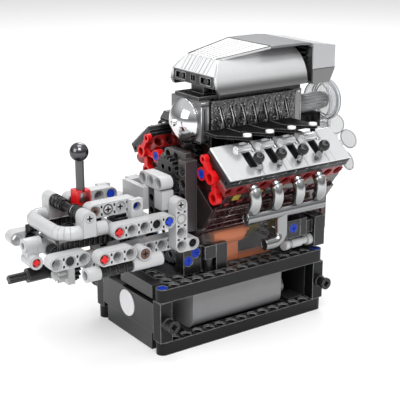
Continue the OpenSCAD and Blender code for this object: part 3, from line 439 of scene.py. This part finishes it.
def wheel_tree():
    """Rods side by side round an axis, as on a fluted drum."""
    tree, enter, leave = node_tree("rods round an axis", [
        ("Count", "NodeSocketInt"), ("Radius", "NodeSocketFloat"), ("Rod Radius", "NodeSocketFloat"),
        ("Length", "NodeSocketFloat"), ("Finish", "NodeSocketMaterial")])
    circle, rod = tree.nodes.new("GeometryNodeMeshCircle"), tree.nodes.new("GeometryNodeMeshCylinder")
    rod.inputs["Vertices"].default_value = FLUTE_SIDES
    tree.links.new(enter.outputs["Count"], circle.inputs["Vertices"])
    tree.links.new(enter.outputs["Radius"], circle.inputs["Radius"])
    tree.links.new(enter.outputs["Rod Radius"], rod.inputs["Radius"])
    tree.links.new(enter.outputs["Length"], rod.inputs["Depth"])
    spread(tree, enter, leave, circle.outputs[0], rod.outputs[0])
    return tree


ROW, WHEEL = row_tree(), wheel_tree()


def grown(tree, values):
    """Runs a geometry tree on an empty holder and gives back its plain mesh."""
    holder = bpy.data.objects.new("holder", bpy.data.meshes.new("holder"))
    scene.collection.objects.link(holder)
    nodes = holder.modifiers.new("nodes", "NODES")
    nodes.node_group = tree
    for item in tree.interface.items_tree:
        if item.in_out == "INPUT":
            nodes[item.identifier] = values[item.name]
    bpy.context.view_layer.update()
    ready = holder.evaluated_get(bpy.context.evaluated_depsgraph_get())
    mesh = bpy.data.meshes.new_from_object(ready)
    holder.modifiers.clear()
    bpy.data.objects.remove(holder)
    return mesh


# Small solids for the trim, drawn in millimetres
def aimed(way):
    """Turns the Z axis to point that way."""
    return Vector(way).to_track_quat("Z", "Y").to_matrix().to_4x4()


def turns(count):
    """The angles of equal steps round a circle."""
    return [2 * math.pi * k / count for k in range(count)]


class Trim:
    """Gathers boxes, rods and rings of one finish and one body into a single mesh."""

    def __init__(self, name, material, slot, body="engine"):
        self.name, self.material, self.slot, self.body = name, material, slot, body
        self.mesh = bmesh.new()

    def _place(self, verts, matrix):
        bmesh.ops.transform(self.mesh, matrix=matrix, verts=verts)

    def box(self, low, high, matrix=Matrix.Identity(4)):
        low, high = Vector(low), Vector(high)
        made = bmesh.ops.create_cube(self.mesh, size=1.0)["verts"]
        scale = Matrix.Diagonal((*(high - low), 1.0))
        self._place(made, matrix @ Matrix.Translation((low + high) / 2) @ scale)

    def rod(self, a, b, radius, sides=24, matrix=Matrix.Identity(4)):
        a, b = Vector(a), Vector(b)
        made = bmesh.ops.create_cone(self.mesh, segments=sides, radius1=radius, radius2=radius,
                                     depth=(b - a).length, cap_ends=True)["verts"]
        self._place(made, matrix @ Matrix.Translation((a + b) / 2) @ aimed(b - a))

    def _swept(self, outline, centre, axis, sides, matrix):
        """Sweeps a closed outline of (radius, height) corners round an axis."""
        loops = [[self.mesh.verts.new((radius * math.cos(a), radius * math.sin(a), height))
                  for a in turns(sides)] for radius, height in outline]
        for one, two in zip(loops, loops[1:] + loops[:1]):
            for k in range(sides):
                after = (k + 1) % sides
                self.mesh.faces.new((one[k], one[after], two[after], two[k]))
        self._place([vert for loop in loops for vert in loop],
                    matrix @ Matrix.Translation(Vector(centre)) @ aimed(axis))

    def ring(self, centre, axis, outer, inner, depth, sides=32, matrix=Matrix.Identity(4)):
        """Flat washer with its back face at the centre, standing out along the axis."""
        self._swept([(outer, 0), (outer, depth), (inner, depth), (inner, 0)], centre, axis, sides, matrix)

    def torus(self, centre, axis, big, small, sides=40, rows=12, matrix=Matrix.Identity(4)):
        outline = [(big + small * math.cos(b), small * math.sin(b)) for b in turns(rows)]
        self._swept(outline, centre, axis, sides, matrix)

    def panel(self, x, layer, z):
        """Thin box between two X values, the two Y values of a layer and two Z values."""
        self.box(*zip(x, layer, z))

    def cross(self, x, layer, z, half, thick):
        """Upright cross on a face that looks sideways."""
        self.panel((x - half, x + half), layer, (z - thick, z + thick))
        self.panel((x - thick, x + thick), layer, (z - half, z + half))

    def _take(self, mesh, matrix):
        mesh.transform(matrix)
        self.mesh.from_mesh(mesh)
        bpy.data.meshes.remove(mesh)

    def row(self, low, high, step, count, matrix=Matrix.Identity(4)):
        """The first block goes from low to high, and each next one stands a step further."""
        low, high = Vector(low), Vector(high)
        values = {"Size": high - low, "Start": (low + high) / 2, "Step": Vector(step), "Count": count,
                  "Finish": self.material}
        self._take(grown(ROW, values), matrix)

    def flutes(self, a, b, radius, rod, count):
        """Rods round the line from a to b."""
        a, b = Vector(a), Vector(b)
        values = {"Count": count, "Radius": radius, "Rod Radius": rod, "Length": (b - a).length,
                  "Finish": self.material}
        self._take(grown(WHEEL, values), Matrix.Translation((a + b) / 2) @ aimed(b - a))

    def done(self, bevel=0.0):
        """Scales the mesh to metres, gives it its finish and hands it to its body."""
        bmesh.ops.transform(self.mesh, matrix=Matrix.Scale(MM, 4), verts=self.mesh.verts[:])
        bmesh.ops.recalc_face_normals(self.mesh, faces=self.mesh.faces[:])
        data = bpy.data.meshes.new(self.name)
        self.mesh.to_mesh(data)
        self.mesh.free()
        data.shade_smooth()
        data.materials.append(self.material)
        made = bpy.data.objects.new(self.name, data)
        scene.collection.objects.link(made)
        if bevel:
            cut = made.modifiers.new("soft edge", "BEVEL")
            cut.width, cut.segments, cut.limit_method = bevel * MM, 2, "ANGLE"
        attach(made, self.body)


# Frames of the two leaning banks, and what repeats along the engine
NEAR = Matrix.Translation((0, 0, CRANK_Z)) @ Matrix.Rotation(math.atan2(3, 4), 4, "X")
FAR = Matrix.Scale(-1, 4, (0, 1, 0)) @ NEAR
BANKS = (NEAR, FAR)
SIDES = (-1, 1)
CYLINDERS = (12, 28, 44, 60)
CYLINDER_STEP = (16, 0, 0)
HOLE_PITCH = 8
BLOWER_Z = 124
SHIFT_AXLE_Z = 86
TUBE_Z = 78
PIN_RADIUS = 2.42


def on_side(side, inner, outer):
    """The two Y values of a layer on one side of the engine, the lower one first."""
    return sorted((side * inner, side * outer))


def beam_notches():
    """Dark notches above and below the web between the holes of the light beams, on their outer faces:
    painted shade in these recesses.
    """
    trim = Trim("beam_notches", seam_and_shade_black, "pin_black")
    wide, tall, off = 0.55, 0.75, 2.1  # half sizes of a notch, and its distance from the line of holes
    # first hole, height, number of holes and outer face of each level beam
    beams = [(-64, 76, 5, 27.9), (-80, 60, 8, 19.9), (-102, 66, 3, 27.9), (-78, 66, 3, 35.9),
             (-72, 86, 4, 15.9)]
    for x, z, holes, face in beams:
        middle = x + HOLE_PITCH / 2
        for side in SIDES:
            a, b = on_side(side, face - 0.1, face + 0.03)
            for mid in (z - off, z + off):
                trim.row((middle - wide, a, mid - tall), (middle + wide, b, mid + tall),
                         (HOLE_PITCH, 0, 0), holes - 1)
    upright, web, face = -24, 64.1, 27.9
    for side in SIDES:
        a, b = on_side(side, face - 0.1, face + 0.03)
        for x in (upright - off, upright + off):
            trim.row((x - tall, a, web - wide), (x + tall, b, web + wide), (0, 0, HOLE_PITCH), 3)
    trim.done()


def cover_trim():
    """Ridges and seams beside the slots, and the black lower band with its slanting and long pale lines."""
    ridge = Trim("cover_ridges", silver, "chrome")
    line = Trim("cover_seam_lines", seam_and_shade_black, "pin_black")
    pale = Trim("cover_edge_lines", silver, "chrome")
    slots = len(CYLINDERS)
    # x, the two ends and the top of the seams at each slot
    seams = [(18.7, 4.2, 11.9, 70.95), (16.6, 4.2, 11.9, 70.95), (15.4, -11.9, -6.1, 70.63)]
    for bank in BANKS:
        ridge.row((16.9, 4.2, 70.5), (18.6, 11.9, 71.15), CYLINDER_STEP, slots, bank)
        for x, low, high, top in seams:
            line.row((x, low, 70.5), (x + 0.25, high, top), CYLINDER_STEP, slots, bank)
        line.box((-7.9, -12.08, 63.9), (79.9, -12.0, 69.4), bank)
        slant = bank @ Matrix.Translation((-1, -12.02, 66.6)) @ Matrix.Rotation(math.radians(24), 4, "Y")
        along = slant.to_3x3().inverted() @ Vector((8, 0, 0))
        pale.row((-0.09, -0.1, -2.4), (0.09, 0.0, 2.4), along, 10, slant)
        for w in (64.3, 66.8):
            pale.box((-7.6, -12.12, w), (79.6, -12.05, w + 0.12), bank)
    ridge.done(0.15)
    line.done()
    pale.done()


def ball_trim():
    """Sockets in the black balls and rings on their rods."""
    ring = Trim("ball_socket_rings", block_dark, "block_dark")
    band = Trim("ball_rod_bands", steel_grey, "metal_grey")
    hole = Trim("ball_sockets", seam_and_shade_black, "pin_black")
    out = Vector((-0.25, -0.12, 1)).normalized()
    socket = 1.15
    for bank in BANKS:
        for x, lean in zip(CYLINDERS, (0.5, -2.5, -4.5, -7.5)):
            ball = Vector((x + 1.5, -4, 75.9))
            face = ball + out * 2.85
            ring.ring(face - out * 0.5, out, 1.75, socket, 0.6, matrix=bank)
            # the dark disc in each socket is painted shade in the hollow
            hole.rod(face - out * 0.6, face + out * 0.06, socket, matrix=bank)
            rod = Vector((lean, -5.2, -4.1))
            for part in (0.56, 0.66, 0.76, 0.86):
                at = ball + rod * part
                band.rod(at, at + rod.normalized() * 0.45, 1.55, matrix=bank)
    ring.done(0.08)
    band.done()
    hole.done()


def block_trim():
    """Painted highlights on plate edges seen through the red smoke block, and the olive plates and the red
    plates with painted shade under the covers.
    """
    shine = Trim("block_plate_edges", edge_shine, "smoke_red")
    olive_bits = Trim("olive_plates", olive, "piston_olive")
    red_bits = Trim("red_plates", red_painted_shade, "red")
    # height out along the cylinders, and the two ends along X, of each level edge
    edges = [(26.5, -7, 79), (31.5, -6, 34), (37.2, -7, 30), (37.2, 38, 79), (42.4, 2, 50), (45.0, -7, 79)]
    places = 5
    for bank in BANKS:
        for u, start, end in edges:
            shine.box((start, -13.5, u), (end, -13.38, u + 0.28), bank)
        shine.row((4, -13.5, 25), (4.22, -13.38, 45), CYLINDER_STEP, places, bank)
        olive_bits.row((1.4, -12.2, 50.6), (6.2, -11.6, 54.8), CYLINDER_STEP, places, bank)
        red_bits.row((6.6, -12.0, 47.2), (10.2, -11.6, 49.9), CYLINDER_STEP, places, bank)
        red_bits.row((-2.0, -12.0, 46.6), (1.0, -11.6, 48.6), CYLINDER_STEP, places, bank)
    shine.done()
    olive_bits.done(0.1)
    red_bits.done(0.1)


def blower_trim():
    """Painted highlights on the edges and feet of the slanting ribs, and painted shadows beside them, on both
    sides of the clear case.
    """
    glint = Trim("blower_rib_glints", painted_highlight_edge, "chrome")
    shade = Trim("blower_rib_shadows", seam_and_shade_black, "pin_black")
    # two X and two Z values of each painted highlight strip, measured from the top of the first rib
    strips = [((0.0, 0.6), (-20.5, -1.0)), ((1.7, 2.0), (-13.5, -4.0)), ((-0.4, 2.2), (-20.8, -19.0)),
              ((-0.4, 2.6), (-2.4, -1.5)), ((0.6, 1.7), (-9.0, -8.4))]
    ribs, pitch, lean = 7, 8, math.radians(-16)
    for side in SIDES:
        base = Matrix.Translation((9.0, side * 16.86, 134.6)) @ Matrix.Rotation(lean, 4, "Y")
        step = base.to_3x3().inverted() @ Vector((pitch, 0, 0))
        layer = on_side(side, 0.0, 0.12)
        for x, z in strips:
            glint.row(*zip(x, layer, z), step, ribs, base)
        shade.row(*zip((0.65, 1.6), layer, (-20.0, -1.5)), step, ribs, base)
    glint.done()
    shade.done()


def scoop_trim():
    """Panel lines on the slopes, ribs on the grey top, window frames in the bar and the rear box's seam."""
    line = Trim("scoop_panel_lines", bar_dark, "metal_grey")
    dark = Trim("scoop_dark_lines", seam_and_shade_black, "pin_black")
    foot, top = Vector((9.1, 0, 160.3)), Vector((43, 0, 165.7))
    rise, run = top.z - foot.z, top.x - foot.x
    length = math.hypot(rise, run)
    ramp = Matrix.Translation(foot) @ Matrix.Rotation(-math.atan2(rise, run), 4, "Y")
    front = Matrix.Translation((3.2, 0, 151.7)) @ Matrix.Rotation(-math.atan2(8.3, 6.0), 4, "Y")
    panels, across = 8, (0, 3.6, 0)
    line.row((0.3, -12.85, -0.1), (length - 0.6, -12.25, 0.09), across, panels, ramp)
    line.row((0.6, -12.7, -0.1), (9.9, -12.4, 0.07), across, panels, front)
    line.row((50, -19.4, 165.9), (66, -19.0, 165.99), (0, 4.2, 0), 10)
    for side in SIDES:
        border = ramp @ Matrix.Translation((0, side * 14.1, 0))
        border = border @ Matrix.Rotation(side * math.atan2(6.7, length), 4, "Z")
        a, b = on_side(side, -0.9, 0.2)
        dark.box((0.2, a, -0.1), (length, b, 0.16 if side > 0 else 0.09), border)
        dark.panel((73.0, 90.0), on_side(side, 23.95, 24.06), (149.6, 149.95))
    dark.box((90.0, -23.6, 149.6), (90.1, 23.6, 149.95))
    dark.box((42.95, -20.6, 165.6), (43.2, 20.6, 165.95))
    frame_x = (2.86, 3.02)
    for y in (-17.5, 7.5):
        for z in ((145.9, 146.3), (150.3, 150.7)):
            line.panel(frame_x, (y - 0.5, y + 10.5), z)
        line.row(*zip(frame_x, (y - 0.5, y), (145.9, 150.7)), (0, 10.5, 0), 2)
        dark.row((4.6, y + 1.6, 146.5), (5.4, y + 2.2, 150.1), (0, 6.4, 0), 2)
    line.done()
    dark.done()


def nose_trim():
    """Dark seams and painted highlights on the edges of the grey nose block behind the dome."""
    dark = Trim("nose_dark_seams", seam_and_shade_black, "pin_black")
    glint = Trim("nose_edge_highlights", painted_highlight_edge, "chrome")
    # two X and two Z values of each strip: on the nose block, then at the rear end of the blower
    nose_seams = [((3.7, 4.8), (113.2, 137.2)), ((-1.8, 3.6), (113.1, 114.6)), ((-1.8, 3.6), (134.6, 135.2)),
                  ((0.4, 1.0), (116.5, 133.0))]
    nose_edges = [((-1.8, -1.1), (115.0, 134.4)), ((2.9, 3.3), (116.0, 133.6)), ((-1.8, 4.8), (136.2, 136.8))]
    rear_edges = [((71.9, 72.5), (114.0, 136.4)), ((66.4, 72.8), (134.8, 136.6))]
    for side in SIDES:
        nose, rear = on_side(side, 14.98, 15.08), on_side(side, 14.0, 14.1)
        for x, z in nose_seams:
            dark.panel(x, nose, z)
        for x, z in nose_edges:
            glint.panel(x, nose, z)
        dark.panel((66.4, 68.2), rear, (113.2, 136.4))
        for x, z in rear_edges:
            glint.panel(x, rear, z)
    dark.box((-1.98, -14.6, 113.3), (-1.88, 14.6, 114.2))
    dark.done()
    glint.done()


def rear_trim():
    """Fluted drum over the ribbed connector, a dark block with struts under it as painted shadow, and painted
    shade in the gap before the rear box.
    """
    drum = Trim("rear_drum", light_grey, "metal_grey")
    dark = Trim("rear_painted_shade", seam_and_shade_black, "pin_black")
    start, end, radius = (79, 0, BLOWER_Z), (101.5, 0, BLOWER_Z), 5.15
    drum.rod(start, end, radius, sides=48)
    drum.flutes(start, end, radius, 0.5, 18)
    # dark block and struts under the drum: painted shadow
    dark.box((74, -5, 108.5), (97, 5, 117.5))
    dark.row((77, -6.2, 109), (78.2, 6.2, 116.8), (5, 0, 0), 4)
    # dark sheet in the gap before the rear box, and dark ribs in it: painted shade
    dark.box((72.84, -22.8, 142.5), (72.97, 22.8, 163.0))
    dark.row((69.2, -19.5, 144), (72.9, 19.5, 144.8), (0, 0, 3), 7)
    drum.done()
    dark.done()


def axle_faces():
    """Ends of pins and axles in the light beams: grey faces, dark crosses and sunk black pins."""
    grey = Trim("grey_axle_faces", light_grey, "light_grey")
    dark = Trim("axle_crosses", seam_and_shade_black, "pin_black")
    # x, outer y, z and radius of each grey face; the last one has no cross
    axles = [(-80, 24.42, 86, 2.4), (-64, 15.95, 86, 2.35), (-56, 15.2, 86, 2.4), (-24, 27.3, 84.1, 2.4)]
    plain = (-24, 27.5, 76.1, 2.42)
    # x, outer y and z of the crosses on coloured pins, and of the mouths of holes with a black pin
    pins = [(-72, 15.62, 86), (-53, 35.87, 64)]
    mouths = [(-64, 27.9, 76), (-32, 27.9, 76), (-78, 35.9, 66), (-48, 15.9, 86)]
    # x, z, inner and outer y of black pins that stand further in
    sunk = [(-16, 60.1, 26.0, 26.9), (-40, 76, 26.0, 27.0)]
    for side in SIDES:
        for x, y, z, radius in axles + [plain]:
            grey.rod((x, side * (y - 1.2), z), (x, side * y, z), radius)
        for x, y, z, _ in axles:
            dark.cross(x, on_side(side, y - 0.1, y + 0.04), z, 1.7, 0.45)
        for x, y, z in pins:
            dark.cross(x, on_side(side, y - 0.1, y + 0.03), z, 1.5, 0.35)
        for x, y, z in mouths:
            dark.rod((x, side * (y - 1.5), z), (x, side * (y - 0.75), z), PIN_RADIUS)
        for x, z, inner, outer in sunk:
            dark.rod((x, side * inner, z), (x, side * outer, z), PIN_RADIUS)
    dark.rod((-104, -6.0, 61), (-104, -6.8, 61), PIN_RADIUS)
    grey.done(0.15)
    dark.done()


def gearbox_trim():
    """Black ribbed housing beside the gears, bushes on the tube axle and ribs on the bends of the tube."""
    dark = Trim("gearbox_dark_parts", beam_black, "pin_black")
    tube = Trim("tube_ribs", light_grey, "light_grey")
    bushes, collars = (14.2, 11.0, 6.4), ((13.4, 3.2), (7.6, 3.0))  # outer y, and for the collars a radius
    axle_x, bend_radius = -80, 9
    for side in SIDES:
        dark.panel((-97, -62), on_side(side, 18.9, 19.6), (69, 73.8))
        dark.row(*zip((-96, -94.7), on_side(side, 19.0, 20.3), (69.6, 73.6)), (3, 0, 0), 12)
        for y in bushes:
            dark.rod((axle_x, side * y, SHIFT_AXLE_Z), (axle_x, side * (y + 1.0), SHIFT_AXLE_Z), 3.9)
        for y, radius in collars:
            tube.rod((axle_x, side * (y - 1.6), SHIFT_AXLE_Z), (axle_x, side * y, SHIFT_AXLE_Z), radius)
        bend = Vector((-85.5, side * 11, TUBE_Z))
        for turned in (18, 34, 50, 66):
            a = math.radians(180 - side * turned)
            spot = bend + Vector((math.cos(a), math.sin(a), 0)) * bend_radius
            tube.torus(spot, (-math.sin(a), math.cos(a), 0), 3.86, 0.22)
        for x in (-84.6, -75.6):
            tube.ring((x, side * 20, TUBE_Z), (1, 0, 0), 4.25, 3.6, 0.7)
    dark.done()
    tube.done()


def base_trim():
    """Dark floor and inner walls of the stand, which shut out light and whose black is painted shade under
    the battery, the grey plate on the floor and painted highlights along the beams' edges.
    """
    floor = Trim("stand_floor", seam_and_shade_black, "frame_black")
    edge = Trim("stand_beam_edge_highlights", light_grey, "frame_black")
    # black floor and walls shut out light; their black is painted shade under the battery
    floor.box((-39.6, -27.8, 0.5), (71.6, 27.8, 1.4))
    floor.box((-35.6, 26.9, 1.4), (67.6, 27.8, 8.0))
    floor.row((-37.4, -27.8, 1.4), (-36.8, 27.8, 14.0), (105.8, 0, 0), 2)
    plate = Trim("floor_plate", box_grey, "metal_grey")
    plate.box((55.5, -20, 1.4), (63.5, -6, 3.4))
    plate.done(0.2)
    # pale lines along the beams' edges: painted highlights
    for side in SIDES:
        face = on_side(side, 35.86, 35.98)
        for z in (7.72, 39.82):
            edge.panel((-40, 72), face, (z, z + 0.12))
        edge.panel((-36.2, 68.2), face, (32.0, 32.1))
    floor.done()
    edge.done()


def disc_trim():
    """Rims of the clear disc behind the blower, and the clear wall round it."""
    rim = Trim("disc_rims", clear_rim, "clear")
    along = (1, 0, 0)
    rims = [(104.9, 12.55, 0.42), (106.9, 12.55, 0.42), (105.9, 10.2, 0.4), (98.0, 12.3, 0.4)]
    for x, radius, thick in rims:
        rim.torus((x, 0, BLOWER_Z), along, radius, thick)
    rim.done()
    wall = Trim("disc_housing", clear, "clear")
    wall.ring((98, 0, BLOWER_Z), along, 12.5, 12.1, 6.8, sides=64)
    wall.done()


def fan_trim():
    """Pale moulded rims round the fan blades."""
    rim = Trim("fan_blade_rims", clear_rim, "clear", "fan_wheel")
    hub, twist = Matrix.Translation((115, 0, 92)), Matrix.Rotation(math.radians(14), 4, "Z")
    for turned in turns(6):
        blade = hub @ Matrix.Rotation(turned, 4, "X") @ twist
        rim.torus((0, 0, 14.5), (1, 0, 0), 6.15, 0.3, matrix=blade)
    rim.done()


def lever_trim():
    """Window in the red lever block, painted dark red as painted shade in its recess, with a dark bar showing
    in it.
    """
    window = Trim("lever_window", red_painted_shade, "red", "shift_lever")
    bar = Trim("lever_window_bar", bar_dark, "metal_grey", "shift_lever")
    for side in SIDES:
        window.panel((-74.9, -69.1), on_side(side, 3.9, 4.04), (88.6, 94.2))
        bar.panel((-74.0, -72.2), on_side(side, 3.9, 4.1), (89.0, 93.8))
    window.done()
    bar.done()


beam_notches()
cover_trim()
ball_trim()
block_trim()
blower_trim()
scoop_trim()
nose_trim()
rear_trim()
axle_faces()
gearbox_trim()
base_trim()
disc_trim()
fan_trim()
lever_trim()


# Floor, world and lamps
FLOOR_GLOW = 0.36  # share of the floor's own light, for the eye only
# grey levels from straight down, at 0, to straight up, at 1
SKY = [(0.0, 0.75), (0.5, 0.55), (0.56, 0.30), (0.68, 0.55), (0.82, 1.0), (1.0, 0.9)]
SKY_STRENGTH = 0.62
LAMPS = [  # name, place, what it looks at, width and power
    ("key softbox", (-0.35, -0.95, 1.25), (0, 0, 0.08), 0.7, 13.0),
    ("fill softbox", (-1.3, -0.1, 0.75), (0, 0, 0.08), 0.8, 7.0),
    ("rim softbox", (0.7, 0.9, 1.0), (0, 0, 0.1), 0.7, 8.0),
    ("top softbox", (0.1, 0.0, 1.5), (0, 0, 0.1), 0.9, 9.0)]


def plain_floor():
    """Wide matte floor that looks nearly white to the camera."""
    mesh = bpy.data.meshes.new("floor")
    size = 14.0
    corners = [(-size, -size, 0), (size, -size, 0), (size, size, 0), (-size, size, 0)]
    mesh.from_pydata(corners, [], [(0, 1, 2, 3)])
    floor = bpy.data.objects.new("floor", mesh)
    scene.collection.objects.link(floor)
    f = Finish("plain floor")
    path = f.tree.nodes.new("ShaderNodeLightPath")
    seen = Wire(f, path.outputs["Is Camera Ray"])
    matte = f.node("ShaderNodeBsdfDiffuse", inputs={"Color": (0.9, 0.9, 0.9, 1.0)})
    glow = f.node("ShaderNodeEmission", inputs={"Color": (1.0, 1.0, 1.0, 1.0), "Strength": 1.0})
    both = f.node("ShaderNodeMixShader", inputs={0: seen * FLOOR_GLOW, 1: matte, 2: glow})
    f.tree.links.new(both.socket, f.output.inputs["Surface"])
    mesh.materials.append(f.material)


def studio_world():
    """Grey studio light, dark behind the horizon and bright above."""
    world = bpy.data.worlds.new("studio")
    scene.world = world
    world.use_nodes = True
    tree = world.node_tree
    tree.nodes.clear()
    out = tree.nodes.new("ShaderNodeOutputWorld")
    back = tree.nodes.new("ShaderNodeBackground")
    ramp = tree.nodes.new("ShaderNodeValToRGB")
    part = tree.nodes.new("ShaderNodeSeparateXYZ")
    coord = tree.nodes.new("ShaderNodeTexCoord")
    span = tree.nodes.new("ShaderNodeMapRange")
    span.inputs[1].default_value, span.inputs[2].default_value = -1.0, 1.0
    while len(ramp.color_ramp.elements) < len(SKY):
        ramp.color_ramp.elements.new(0.5)
    for element, (spot, level) in zip(ramp.color_ramp.elements, SKY):
        element.position, element.color = spot, (level, level, level * 1.01, 1.0)
    tree.links.new(coord.outputs["Generated"], part.inputs[0])
    tree.links.new(part.outputs["Z"], span.inputs[0])
    tree.links.new(span.outputs[0], ramp.inputs[0])
    tree.links.new(ramp.outputs[0], back.inputs["Color"])
    tree.links.new(back.outputs[0], out.inputs["Surface"])
    back.inputs["Strength"].default_value = SKY_STRENGTH


def lamp(name, spot, aim, size, power):
    """Square soft lamp that looks at its aim."""
    data = bpy.data.lights.new(name, "AREA")
    data.shape, data.size, data.energy = "SQUARE", size, power
    made = bpy.data.objects.new(name, data)
    made.location = spot
    made.rotation_euler = (Vector(aim) - Vector(spot)).to_track_quat("-Z", "Y").to_euler()
    scene.collection.objects.link(made)


plain_floor()
studio_world()
for values in LAMPS:
    lamp(*values)
